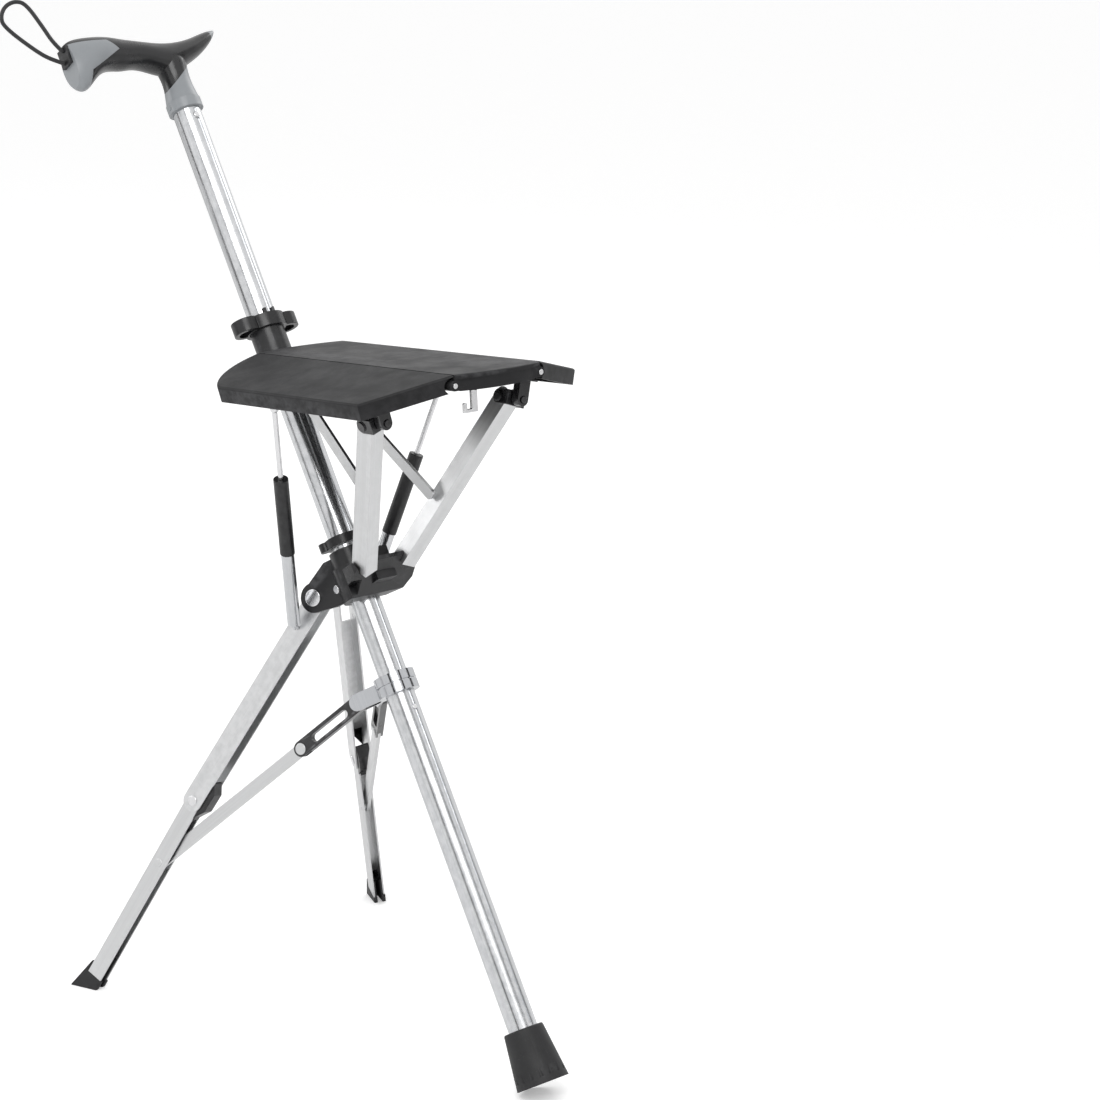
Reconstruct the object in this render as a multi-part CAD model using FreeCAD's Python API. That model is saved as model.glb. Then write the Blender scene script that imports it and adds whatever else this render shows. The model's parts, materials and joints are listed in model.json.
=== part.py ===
import FreeCAD, Part
import math
import os

# Walking stick seat, open as a stool. Millimetres, +Z up, +X is the front of the seat,
# +Y its left. A leaning main tube carries a handle, a sliding sleeve with a three-piece
# folding seat, a sliding hub with two folding rear legs, and a sliding ring with two stays.

Vec = FreeCAD.Vector

# Main tube, measured along itself from the bottom of its foot
TUBE_LEAN = 32.83
TUBE_RADIUS = 11.1
TUBE_WALL = 1.2
TUBE_TOP = 793.0
GROOVE_WIDTH = 2.4
GROOVE_DEPTH = 0.8
FOOT_HEIGHT = 42.0
FOOT_BOTTOM_RADIUS = 20.0
FOOT_TOP_RADIUS = 15.0
FOOT_FLOOR = 6.0
FOOT_RIBS = 16
RUNNING_FIT = 0.1
MOVING_GAP = 0.4

# Handle, heights above the top of the main tube
GRIP_SECTIONS = (  # distance along the grip, middle height, half height, half width
    (-89.0, 45.0, 17.5, 10.5),
    (-80.0, 46.0, 20.5, 13.5),
    (-68.0, 51.0, 16.3, 14.5),
    (-52.0, 53.3, 13.0, 14.0),
    (-36.0, 51.6, 11.4, 13.2),
    (-20.0, 49.0, 11.3, 12.8),
    (-4.0, 45.5, 13.0, 12.8),
    (10.0, 47.6, 11.2, 12.0),
    (22.0, 51.8, 9.0, 10.8),
    (34.0, 57.0, 7.3, 9.2),
    (43.0, 61.6, 5.0, 7.4),
    (49.0, 65.4, 2.2, 4.2),
)
NECK_SECTIONS = (  # height, radius, shift along the grip
    (0.0, 13.4, 0.0),
    (9.0, 13.2, 0.0),
    (18.0, 11.8, 0.4),
    (28.0, 11.2, 0.8),
    (38.0, 12.2, 0.8),
    (46.0, 11.8, 0.8),
)
TAIL_CAP = ((-100.0, 61.5), (-57.0, 60.0), (-49.0, 51.0), (-62.0, 44.0), (-77.0, 36.0),
            (-80.0, 20.0), (-100.0, 20.0))
BEAK_CAP_START = 36.0
BEAK_CAP_SLANT = 0.35
NECK_JOINT_HEIGHT = 27.0
NECK_JOINT_SLOPE = 0.8
BAND_HEIGHT = 8.0
BAND_RADIUS = 13.9
STEM_DEPTH = 46.0
STEM_RISE = 24.0
STEM_WALL = 1.5
BUTTON_DROP = 8.0
BUTTON_RADIUS = 2.6
BUTTON_STAND = 1.4
BUTTON_TRAVEL = 1.2
STOP_HEIGHT = 292.0
STOP_RADIUS = 1.8

# Strap route from the tail of the grip: forward, along the grip, height over the tube top
STRAP_WIDTH = 8.0
STRAP_THICK = 1.6
STRAP_ROUTE = (
    (2.0, -91.5, 57.0), (4.0, -98.5, 64.2), (5.5, -103.2, 75.9), (5.0, -110.5, 97.5),
    (3.0, -117.7, 101.3), (1.0, -126.4, 98.5), (-1.0, -131.8, 91.2), (-3.0, -131.0, 83.1),
    (-3.5, -109.0, 60.1), (-2.0, -99.5, 52.5), (-1.0, -91.5, 48.5),
)

# Sleeve with its finger knob and seat bracket
SLEEVE_RADIUS = 13.5
SLEEVE_BOTTOM = 548.0
KNOB_HEIGHT = 610.0
KNOB_THICK = 10.5
KNOB_SPAN = 56.0
KNOB_RADIUS = 16.5
WING_RADIUS = 11.0
WING_WALL = 3.6
LATCH_RISE = 4.5
LATCH_WIDTH = 10.0
SLOT_DEPTH = 6.05
BRACKET_CHEEK = 3.5
BRACKET_INSIDE = 9.0
BRACKET_EYE = 5.0
BRACKET_RISE = 8.0
SEAT_PIN_RADIUS = 2.5
SEAT_PIN = (37.1, 560.5)      # forward, along the tube
LINK_PIN = (26.5, 559.0)

# Seat
SEAT_PIN_SETBACK = 11.7   # the seat pin, from the rear end of a crease and down from the top
SEAT_PIN_DEPTH = 12.85
SEAT_TILT = 4.94
SEAT_LENGTH = 232.0
CREASE_HALF = 39.0
END_BULGE = 6.5
PANEL_THICK = 12.0
SKIN_THICK = 3.4
RIM_WALL = 3.0
CENTRE_BODY_HALF = 34.0
HINGE_DEPTH = 7.7
HINGE_ROD_RADIUS = 1.9
KNUCKLE_RADIUS = 3.8
KNUCKLE_LENGTH = 12.0
SIDE_WIDTH = 60.8
SIDE_SLOPE = 14.2
SIDE_FRONT_SETBACK = 32.0
SIDE_REAR_SETBACK = 33.0
FOLDED_PANEL = 90.0
CREASE_GAP = 0.3
PANEL_TOP = 7.5
PANEL_TOP_EDGE = -1.1
HOOK_SIDE = 24.0
HOOK_DROP = 13.0

# Struts from the side panels down to the hub, and side links back to the sleeve
STRUT_TOP = (165.4, 29.4, -20.2)      # along the crease, out and up in the panel
STRUT_BOTTOM = (35.0, 17.8, 395.5)    # forward, left, along the tube
STRUT_SHORT = 3.0
STRUT_HEIGHT = 15.0
STRUT_WIDTH = 12.0
SHEET = 1.3
STRUT_PIN_RADIUS = 2.5
CLEVIS_CHEEK = 2.4
CLEVIS_EYE = 5.5
CLEVIS_FRONT = 11.0
CLEVIS_STUB = 2.5
CLEVIS_LUG = 7.0
CLEVIS_LUG_RADIUS = 5.0
LINK_STATION = 93.9
LINK_SIDE = 9.3
LINK_WIDTH = 9.0
LINK_THICK = 2.5
LINK_PLAY = 0.3

# Hub
HUB_TOP = 423.0
HUB_BOTTOM = 384.0
HUB_RADIUS = 16.5
LEG_PIVOT = (-38.0, 10.5, 400.0)   # forward, left, along the tube
LEG_SPREAD_SLOPE = 0.462
CHEEK_THICK = 3.5
CHEEK_EYE = 11.5
LEG_PIN_RADIUS = 3.0
LEG_PIN_HEAD = 6.5
SHELF_FRONT = 45.0
SHELF_HALF = 29.5
SHELF_THICK = 21.5
POCKET_GAP = 0.5
POCKET_FLARE = 1.0
FLOOR_GAP = 0.3
TONGUE = 26.0
COLLAR_GAP = 3.5
COLLAR_LENGTH = 7.0
COLLAR_RADIUS = 14.6

# Rear legs
LEG_HEIGHT = 17.0
LEG_WIDTH = 14.0
HUB_END_CUT = 40.0
KNEE_END_CUT = 27.0
KNEE = (-188.3, 298.1)             # forward, along the tube
LOWER_HEIGHT = 13.8
LOWER_WIDTH = 9.8
REAR_FOOT = (-325.5, 198.3)
REAR_FOOT_WIDTH = 10.6
KNEE_PIN_RADIUS = 2.2
STAY_PIN_FROM_KNEE = 60.0
STAY_PIN_RADIUS = 2.5

# Ring and stays
RING_HEIGHT = 313.6
RING_BAND = 7.0
RING_GAP = 1.2
RING_RADIUS = 15.9
EAR_THICK = 2.2
EAR_HALF = 6.5
STAY_ROOT_RISE = 0.4
STAY_ROOT = (-37.5, RING_HEIGHT + STAY_ROOT_RISE)
STAY_WIDTH = 10.0
STAY_THICK = 3.0
STAY_BLADE = 5.4
PLATE_LENGTH = 62.6
PLATE_WIDTH = 12.4
WINDOW_LENGTH = 38.0
WINDOW_WIDTH = 6.6
RIVET_HEAD = 4.5

# Spring struts between the side panels and the legs
SPRING_TOP = (71.5, 43.6, -13.2)      # along the crease, out and up in the panel
SPRING_HOOK_FROM_PIVOT = 28.0
SPRING_SIDE = 12.4
SPRING_ROD_RADIUS = 2.0
SPRING_TUBE_RADIUS = 5.0
SPRING_BORE = 3.4
SPRING_GRIP_LENGTH = 66.0
SPRING_TUBE_LENGTH = 64.0
SPRING_ROD_SHOWN = 60.0
SPRING_ROD_HIDDEN = 40.0
HOOK_RADIUS = 1.3
HOOK_HOLE = 1.9
BALL_RADIUS = 3.2
LUG_HALF = 4.5
LUG_GAP = 0.3

LEAN = math.radians(TUBE_LEAN)
FRONT_AXIS = Vec(math.cos(LEAN), 0, math.sin(LEAN))
LEFT_AXIS = Vec(0, 1, 0)
TUBE_AXIS = Vec(-math.sin(LEAN), 0, math.cos(LEAN))
FOOT_RIM_X = 180.0
FOOT_CENTRE = Vec(FOOT_RIM_X, 0, 0) + FRONT_AXIS * FOOT_BOTTOM_RADIUS

TILT = math.radians(SEAT_TILT)
SEAT_AXIS = Vec(math.cos(TILT), 0, math.sin(TILT))
SEAT_UP = Vec(-math.sin(TILT), 0, math.cos(TILT))


def frame(origin, x_axis, y_axis, z_axis):
    """A placement whose local axes are the three given world directions."""
    matrix = FreeCAD.Matrix(x_axis.x, y_axis.x, z_axis.x, origin.x,
                            x_axis.y, y_axis.y, z_axis.y, origin.y,
                            x_axis.z, y_axis.z, z_axis.z, origin.z,
                            0, 0, 0, 1)
    return FreeCAD.Placement(matrix)


TUBE_FRAME = frame(FOOT_CENTRE, FRONT_AXIS, LEFT_AXIS, TUBE_AXIS)
SEAT_PIVOT = TUBE_FRAME.multVec(Vec(SEAT_PIN[0], 0, SEAT_PIN[1]))
SEAT_ORIGIN = SEAT_PIVOT - SEAT_AXIS * SEAT_PIN_SETBACK + SEAT_UP * SEAT_PIN_DEPTH
SEAT_FRAME = frame(SEAT_ORIGIN, SEAT_AXIS, LEFT_AXIS, SEAT_UP)


def placed(shape, placement):
    """The shape moved from a local frame into the world."""
    copy = shape.copy()
    copy.Placement = placement.multiply(copy.Placement)
    return copy


def on_tube(forward, left, along):
    """World point from tube coordinates."""
    return TUBE_FRAME.multVec(Vec(forward, left, along))


def unit(vector):
    return vector * (1.0 / vector.Length)


def mirrored(shape):
    """The right-hand copy of a left-hand piece."""
    return shape.mirror(Vec(0, 0, 0), LEFT_AXIS)


def flipped(vector):
    return Vec(vector.x, -vector.y, vector.z)


def cylinder(start, direction, radius, length):
    return Part.makeCylinder(radius, length, start, direction)


def rod(start, end, radius):
    return Part.makeCylinder(radius, (end - start).Length, start, end - start)


def block(low, high):
    size = Vec(*high) - Vec(*low)
    return Part.makeBox(size.x, size.y, size.z, Vec(*low))


def tube(radius, bore, bottom, top):
    """A hollow cylinder about the local Z axis."""
    outer = cylinder(Vec(0, 0, bottom), Vec(0, 0, 1), radius, top - bottom)
    return outer.cut(cylinder(Vec(0, 0, bottom - 1), Vec(0, 0, 1), bore, top - bottom + 2))


def extruded(points, depth):
    """A closed outline of 3D points swept along a vector."""
    wire = Part.makePolygon([Vec(*p) for p in points] + [Vec(*points[0])])
    return Part.Face(wire).extrude(depth)


def fused(shapes):
    """One solid from several that meet."""
    body = shapes[0]
    for other in shapes[1:]:
        body = body.fuse(other)
    return body.removeSplitter()


def bar_frame(start, end, lateral):
    """Local X from start to end, local Z along the pin direction."""
    along = unit(end - start)
    across = unit(lateral - along * lateral.dot(along))
    return frame(start, along, across.cross(along), across)


def bar(length, width, thick, before=0.0, beyond=0.0):
    """A flat bar with round ends about the pins at 0 and length, in its local frame."""
    half = width / 2.0
    body = block((-before, -half, -thick / 2), (length + beyond, half, thick / 2))
    for centre in (-before, length + beyond):
        body = body.fuse(cylinder(Vec(centre, 0, -thick / 2), Vec(0, 0, 1), half, thick))
    return body.removeSplitter()


def pin_hole(centre, radius, reach=40.0):
    return cylinder(Vec(centre, 0, -reach), Vec(0, 0, 1), radius, 2 * reach)


def channel(length, height, width, web_side):
    """A round-ended U channel: the web is on the web_side of local Y."""
    body = bar(length, height, width)
    inner = width / 2 - SHEET
    reach = height
    low, high = (-height / 2 + SHEET, reach) if web_side < 0 else (-reach, height / 2 - SHEET)
    return body.cut(block((-reach, low, -inner), (length + reach, high, inner)))


# Directions of each leg: the plane it swings in, taken on the left side
_spread = math.atan(LEG_SPREAD_SLOPE)
LEG_OUT = FRONT_AXIS * -math.cos(_spread) + LEFT_AXIS * math.sin(_spread)
LEG_PIN_AXIS = FRONT_AXIS * math.sin(_spread) + LEFT_AXIS * math.cos(_spread)


def in_leg_plane(forward, along, offset=0.0):
    """World point in the left leg's middle plane, at a forward distance and height."""
    left = LEG_PIVOT[1] + (LEG_PIVOT[0] - forward) * LEG_SPREAD_SLOPE
    return on_tube(forward, left, along) + LEG_PIN_AXIS * offset


PIVOT = in_leg_plane(LEG_PIVOT[0], LEG_PIVOT[2])
KNEE_POINT = in_leg_plane(*KNEE)
FOOT_POINT = in_leg_plane(*REAR_FOOT)
UPPER_LENGTH = (KNEE_POINT - PIVOT).Length
LOWER_AXIS = unit(FOOT_POINT - KNEE_POINT)
STAY_PIN = KNEE_POINT + LOWER_AXIS * STAY_PIN_FROM_KNEE
STAY_ROOT_POINT = in_leg_plane(*STAY_ROOT)
STAY_LENGTH = (STAY_PIN - STAY_ROOT_POINT).Length
LOWER_LENGTH = (FOOT_POINT - KNEE_POINT).Length
LEG_FRAME = frame(PIVOT, LEG_OUT, TUBE_AXIS, LEG_PIN_AXIS)
SPRING_ROOT = (PIVOT + unit(KNEE_POINT - PIVOT) * SPRING_HOOK_FROM_PIVOT
               + LEG_PIN_AXIS * (LEG_WIDTH / 2 - SHEET / 2))
SPRING_HOOK = SPRING_ROOT + LEG_PIN_AXIS * (SPRING_SIDE - LEG_WIDTH / 2 + SHEET / 2)

# Crease hinge of the left side panel, and the panel's own axes at rest
SLOPE = math.radians(SIDE_SLOPE)
CREASE = SEAT_FRAME.multVec(Vec(0, CREASE_HALF, -HINGE_DEPTH))
PANEL_OUT = LEFT_AXIS * math.cos(SLOPE) - SEAT_UP * math.sin(SLOPE)
PANEL_UP = LEFT_AXIS * math.sin(SLOPE) + SEAT_UP * math.cos(SLOPE)
PANEL_FRAME = frame(CREASE, SEAT_AXIS, PANEL_OUT, PANEL_UP)
SPRING_TOP_POINT = PANEL_FRAME.multVec(Vec(*SPRING_TOP))
SPRING_AXIS = unit(SPRING_TOP_POINT - SPRING_HOOK)
SPRING_LENGTH = (SPRING_TOP_POINT - SPRING_HOOK).Length

STRUT_TOP_POINT = PANEL_FRAME.multVec(Vec(*STRUT_TOP))
STRUT_BOTTOM_POINT = on_tube(*STRUT_BOTTOM)
STRUT_AXIS = unit(STRUT_BOTTOM_POINT - STRUT_TOP_POINT)
STRUT_LENGTH = (STRUT_BOTTOM_POINT - STRUT_TOP_POINT).Length
STRUT_PIN_AXIS = unit(STRUT_AXIS.cross(SEAT_AXIS * -1))
LINK_ROOT_OFFSET = BRACKET_INSIDE + BRACKET_CHEEK + 2 * MOVING_GAP + LINK_THICK / 2
LINK_ROOT = on_tube(LINK_PIN[0], LINK_ROOT_OFFSET, LINK_PIN[1])
LINK_TIP = STRUT_TOP_POINT + STRUT_AXIS * LINK_STATION - STRUT_PIN_AXIS * LINK_SIDE


def make_main_tube():
    body = tube(TUBE_RADIUS, TUBE_RADIUS - TUBE_WALL, FOOT_FLOOR, TUBE_TOP)
    groove = block((TUBE_RADIUS - GROOVE_DEPTH, -GROOVE_WIDTH / 2, FOOT_HEIGHT + 2),
                   (TUBE_RADIUS + 1, GROOVE_WIDTH / 2, TUBE_TOP - 2))
    button_hole = cylinder(Vec(0, 0, TUBE_TOP - BUTTON_DROP), Vec(1, 0, 0),
                           BUTTON_RADIUS + RUNNING_FIT, TUBE_RADIUS + 2)
    stop_hole = cylinder(Vec(0, 0, STOP_HEIGHT), Vec(1, 0, 0), STOP_RADIUS, TUBE_RADIUS + 2)
    return placed(body.cut(groove).cut(button_hole).cut(stop_hole), TUBE_FRAME)


def make_main_foot():
    body = Part.makeCone(FOOT_BOTTOM_RADIUS, FOOT_TOP_RADIUS, FOOT_HEIGHT)
    top_edges = [e for e in body.Edges if abs(e.CenterOfMass.z - FOOT_HEIGHT) < 0.01
                 and e.Closed]
    body = body.makeFillet(1.5, top_edges)
    body = body.cut(cylinder(Vec(0, 0, FOOT_FLOOR), Vec(0, 0, 1), TUBE_RADIUS, FOOT_HEIGHT))
    rib_top = FOOT_HEIGHT * 0.62
    rib_pitch = 360.0 / FOOT_RIBS
    grooves = []
    for index in range(FOOT_RIBS):
        groove = cylinder(Vec(FOOT_BOTTOM_RADIUS + 0.6, 0, 5.0), Vec(0, 0, 1), 2.0, rib_top)
        groove.rotate(Vec(0, 0, 0), Vec(0, 0, 1), (index + 0.5) * rib_pitch)
        grooves.append(groove)
    body = body.cut(Part.makeCompound(grooves))
    ring = tube(FOOT_BOTTOM_RADIUS - 5, FOOT_BOTTOM_RADIUS - 8, -1, 1.2)
    hollow = cylinder(Vec(0, 0, -1), Vec(0, 0, 1), 6.0, 2.2)
    return placed(body.cut(ring).cut(hollow), TUBE_FRAME)


def make_stop_rivet():
    head = cylinder(Vec(TUBE_RADIUS - TUBE_WALL - 0.8, 0, STOP_HEIGHT), Vec(1, 0, 0),
                    STOP_RADIUS, TUBE_WALL + 2.0)
    return placed(head, TUBE_FRAME)


def ellipse_wire(centre, half_height, half_width):
    """An upright ellipse across the grip."""
    major = max(half_height, half_width)
    minor = min(half_height, half_width)
    ellipse = Part.Ellipse(Vec(0, 0, 0), major, minor)
    wire = Part.Wire(ellipse.toShape())
    tall = half_height >= half_width
    major_axis = Vec(0, 0, 1) if tall else Vec(1, 0, 0)
    minor_axis = Vec(1, 0, 0) if tall else Vec(0, 0, -1)
    return placed(wire, frame(centre, major_axis, minor_axis, major_axis.cross(minor_axis)))


def handle_body():
    """Grip and neck as one shape, in tube coordinates."""
    grip = Part.makeLoft([ellipse_wire(Vec(0, along, TUBE_TOP + height), half, wide)
                          for along, height, half, wide in GRIP_SECTIONS], True, False)
    rings = [Part.Wire(Part.Circle(Vec(0, shift, TUBE_TOP + height), Vec(0, 0, 1),
                                   radius).toShape())
             for height, radius, shift in NECK_SECTIONS]
    neck = Part.makeLoft(rings, True, False)
    return grip.fuse(neck).removeSplitter()


def make_handle():
    """Grip, tail cap, beak cap and neck, cut from one body along their joints."""
    body = handle_body()
    stem_bore = cylinder(Vec(0, 0, TUBE_TOP - 1), Vec(0, 0, 1),
                         TUBE_RADIUS - TUBE_WALL, STEM_RISE + 1)
    band_seat = tube(BAND_RADIUS + 5, BAND_RADIUS - 1.2, TUBE_TOP - 1, TUBE_TOP + BAND_HEIGHT)
    body = body.cut(stem_bore).cut(band_seat)
    wide = 40.0
    tail_tool = extruded([(-wide, y, TUBE_TOP + h) for y, h in TAIL_CAP], Vec(2 * wide, 0, 0))
    beak_low = BEAK_CAP_START + 60 * BEAK_CAP_SLANT
    beak_tool = extruded([(-wide, BEAK_CAP_START, TUBE_TOP + 80), (-wide, 90, TUBE_TOP + 80),
                          (-wide, 90, TUBE_TOP + 20), (-wide, beak_low, TUBE_TOP + 20)],
                         Vec(2 * wide, 0, 0))
    rise = 60 * NECK_JOINT_SLOPE
    middle = TUBE_TOP + NECK_JOINT_HEIGHT
    front = 14.0
    neck_tool = extruded([(-wide, -60, middle - rise),
                          (-wide, front, middle + NECK_JOINT_SLOPE * front),
                          (-wide, front, TUBE_TOP - 30), (-wide, -60, TUBE_TOP - 30)],
                         Vec(2 * wide, 0, 0))
    tail = body.common(tail_tool)
    beak = body.common(beak_tool)
    neck = body.common(neck_tool)
    grip = body.cut(tail_tool).cut(beak_tool).cut(neck_tool)
    return {"handle_grip": placed(grip, TUBE_FRAME),
            "handle_tail_cap": placed(tail, TUBE_FRAME),
            "handle_beak_cap": placed(beak, TUBE_FRAME),
            "handle_neck": placed(neck, TUBE_FRAME)}


def make_neck_band():
    body = tube(BAND_RADIUS, BAND_RADIUS - 1.2, TUBE_TOP, TUBE_TOP + BAND_HEIGHT)
    rivet = cylinder(Vec(0, -BAND_RADIUS + 1.0, TUBE_TOP + BAND_HEIGHT / 2), Vec(0, -1, 0),
                     1.6, 1.6)
    return placed(body.fuse(rivet), TUBE_FRAME)


def make_stem_tube():
    outer = TUBE_RADIUS - TUBE_WALL
    body = tube(outer, outer - STEM_WALL, TUBE_TOP - STEM_DEPTH, TUBE_TOP + STEM_RISE)
    hole = cylinder(Vec(0, 0, TUBE_TOP - BUTTON_DROP), Vec(1, 0, 0),
                    BUTTON_RADIUS + RUNNING_FIT, outer + 2)
    return placed(body.cut(hole), TUBE_FRAME)


def make_snap_button():
    height = TUBE_TOP - BUTTON_DROP
    inside = TUBE_RADIUS - TUBE_WALL - STEM_WALL
    shank = cylinder(Vec(inside - 2.4, 0, height), Vec(1, 0, 0), BUTTON_RADIUS,
                     TUBE_RADIUS + BUTTON_STAND - inside + 2.4)
    rim = [e for e in shank.Edges
           if e.Closed and abs(e.CenterOfMass.x - TUBE_RADIUS - BUTTON_STAND) < 0.01]
    return placed(shank.makeFillet(1.0, rim), TUBE_FRAME)


def make_button_spring():
    """A bent strip inside the stem that pushes the button out."""
    height = TUBE_TOP - BUTTON_DROP
    front = TUBE_RADIUS - TUBE_WALL - STEM_WALL - 2.4 - BUTTON_TRAVEL - 0.2
    back = -(TUBE_RADIUS - TUBE_WALL - STEM_WALL) + 0.9
    strip = [(front, -3, height + 5), (front, -3, height - 20), (back, -3, height - 26),
             (back, -3, height - 6), (back + 0.8, -3, height - 6), (back + 0.8, -3, height - 25),
             (front - 0.8, -3, height - 19.4), (front - 0.8, -3, height + 5)]
    return placed(extruded(strip, Vec(0, 6, 0)), TUBE_FRAME)


def strap_points():
    return [on_tube(f, y, TUBE_TOP + h) for f, y, h in STRAP_ROUTE]


def rounded_path(points, share=0.45):
    """Straight runs joined by tangent arcs; returns the wire and the radii."""
    edges = []
    radii = []
    start = points[0]
    for index in range(1, len(points) - 1):
        before = unit(points[index] - points[index - 1])
        after = unit(points[index + 1] - points[index])
        run = min((points[index] - points[index - 1]).Length,
                  (points[index + 1] - points[index]).Length)
        turn = before.getAngle(after)
        trim = share * run
        radii.append(trim / math.tan(turn / 2))
        arc_start = points[index] - before * trim
        arc_end = points[index] + after * trim
        bisector = unit(after - before)
        middle = points[index] + bisector * (radii[-1] / math.cos(turn / 2) - radii[-1])
        edges.append(Part.LineSegment(start, arc_start).toShape())
        edges.append(Part.Arc(arc_start, middle, arc_end).toShape())
        start = arc_end
    edges.append(Part.LineSegment(start, points[-1]).toShape())
    return Part.Wire(edges), radii


def make_wrist_strap():
    """The strap's loop as a plain tube along its route."""
    path, radii = rounded_path(strap_points())
    print("strap radii", " ".join("%.0f" % r for r in radii))
    start = strap_points()[0]
    section = Part.Wire(Part.Circle(start, unit(strap_points()[1] - start),
                                    STRAP_THICK).toShape())
    body = path.makePipeShell([section], True, False)
    expected = math.pi * STRAP_THICK ** 2 * path.Length
    print("strap volume %.0f of %.0f" % (body.Volume, expected))
    return body


def make_strap_clip():
    """The clip in the tail of the grip that holds both ends of the strap."""
    low = Vec(-6.0, -91.5, TUBE_TOP + 45.5)
    body = block((low.x, low.y, low.z), (7.0, -88.6, TUBE_TOP + 60.0))
    grip = handle_body()
    return placed(body.cut(grip), TUBE_FRAME)


def make_sleeve():
    top = KNOB_HEIGHT + KNOB_THICK / 2
    bore = TUBE_RADIUS + RUNNING_FIT
    body = tube(SLEEVE_RADIUS, bore, SLEEVE_BOTTOM, top + LATCH_RISE)
    latch_keep = block((0, -LATCH_WIDTH / 2, top), (30, LATCH_WIDTH / 2, top + LATCH_RISE))
    collar_top = block((-30, -30, top), (30, 30, top + LATCH_RISE + 1))
    body = body.cut(collar_top.cut(latch_keep))
    slot_bottom = top - SLOT_DEPTH
    half = BUTTON_RADIUS + MOVING_GAP
    slot = block((5, -half, slot_bottom), (30, half, top + LATCH_RISE + 1))
    return placed(body.cut(slot), TUBE_FRAME)


def make_wing_knob():
    low = KNOB_HEIGHT - KNOB_THICK / 2
    high = KNOB_HEIGHT + KNOB_THICK / 2
    body = cylinder(Vec(0, 0, low), Vec(0, 0, 1), KNOB_RADIUS, KNOB_THICK)
    loop_centre = KNOB_SPAN / 2 - WING_RADIUS
    for side in (1, -1):
        centre = Vec(0, side * loop_centre, low)
        body = body.fuse(cylinder(centre, Vec(0, 0, 1), WING_RADIUS, KNOB_THICK))
    for side in (1, -1):
        centre = Vec(0, side * loop_centre, low - 1)
        opening = cylinder(centre, Vec(0, 0, 1), WING_RADIUS - WING_WALL, KNOB_THICK + 2)
        keep = cylinder(Vec(0, 0, low - 1), Vec(0, 0, 1), SLEEVE_RADIUS + 2.2, KNOB_THICK + 2)
        body = body.cut(opening.cut(keep))
    body = body.cut(cylinder(Vec(0, 0, low - 1), Vec(0, 0, 1), SLEEVE_RADIUS, KNOB_THICK + 2))
    return placed(body, TUBE_FRAME)


def make_seat_bracket():
    """Two cheeks on a clamp round the sleeve, carrying the seat and link pins."""
    forward, along = SEAT_PIN
    low = LINK_PIN[1] - BRACKET_EYE - 1.0
    high = along + BRACKET_RISE
    clamp = tube(SLEEVE_RADIUS + 2.5, SLEEVE_RADIUS, along - 1.0, high + 2.5)
    shapes = [clamp]
    for side in (1, -1):
        inner = side * BRACKET_INSIDE
        cheek = extruded([(9.0, inner, along - 1), (9.0, inner, high),
                          (forward - 16.1, inner, high), (forward - 11.1, inner, high - 1.9),
                          (forward, inner, along + BRACKET_EYE),
                          (forward, inner, along - BRACKET_EYE), (LINK_PIN[0] + 4, inner, low),
                          (LINK_PIN[0] - 3.5, inner, low), (LINK_PIN[0] - 6, inner, along - 1)],
                         Vec(0, side * BRACKET_CHEEK, 0))
        eye = cylinder(Vec(forward, inner, along), Vec(0, side, 0), BRACKET_EYE, BRACKET_CHEEK)
        shapes += [cheek, eye]
    body = fused(shapes)
    body = body.cut(cylinder(Vec(0, 0, 0), Vec(0, 0, 1), SLEEVE_RADIUS, 900))
    for pin, radius in ((SEAT_PIN, SEAT_PIN_RADIUS), (LINK_PIN, SEAT_PIN_RADIUS)):
        body = body.cut(cylinder(Vec(pin[0], -40, pin[1]), Vec(0, 1, 0), radius, 80))
    return placed(body, TUBE_FRAME)


def make_seat_pin():
    half = BRACKET_INSIDE + BRACKET_CHEEK + MOVING_GAP + 4.4
    body = cylinder(Vec(SEAT_PIN[0], -half, SEAT_PIN[1]), Vec(0, 1, 0), SEAT_PIN_RADIUS, 2 * half)
    return placed(body, TUBE_FRAME)


def make_link_pin():
    half = LINK_ROOT_OFFSET + LINK_THICK / 2 + 0.3
    body = cylinder(Vec(LINK_PIN[0], -half, LINK_PIN[1]), Vec(0, 1, 0), SEAT_PIN_RADIUS, 2 * half)
    for side in (1, -1):
        body = body.fuse(cylinder(Vec(LINK_PIN[0], side * half, LINK_PIN[1]), Vec(0, side, 0),
                                  SEAT_PIN_RADIUS + 0.8, 1.0))
    return placed(body.removeSplitter(), TUBE_FRAME)


def bulged_outline(half_width, length, bulge, inset=0.0):
    """A plan outline with straight sides and arched ends, as a wire at local Z = 0."""
    half = half_width - inset
    rear = inset
    front = length - inset
    corners = [Vec(rear, -half, 0), Vec(front, -half, 0), Vec(front, half, 0), Vec(rear, half, 0)]
    return Part.Wire([
        Part.LineSegment(corners[0], corners[1]).toShape(),
        Part.Arc(corners[1], Vec(front + bulge, 0, 0), corners[2]).toShape(),
        Part.LineSegment(corners[2], corners[3]).toShape(),
        Part.Arc(corners[3], Vec(rear - bulge, 0, 0), corners[0]).toShape()])


def slab(wire, low, high):
    face = Part.Face(wire)
    face.translate(Vec(0, 0, low))
    return face.extrude(Vec(0, 0, high - low))


def knuckle_stations():
    """Where the centre panel's hinge knuckles stand along a crease."""
    return (0.0, SEAT_LENGTH / 2 - KNUCKLE_LENGTH / 2, SEAT_LENGTH - KNUCKLE_LENGTH)


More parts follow.
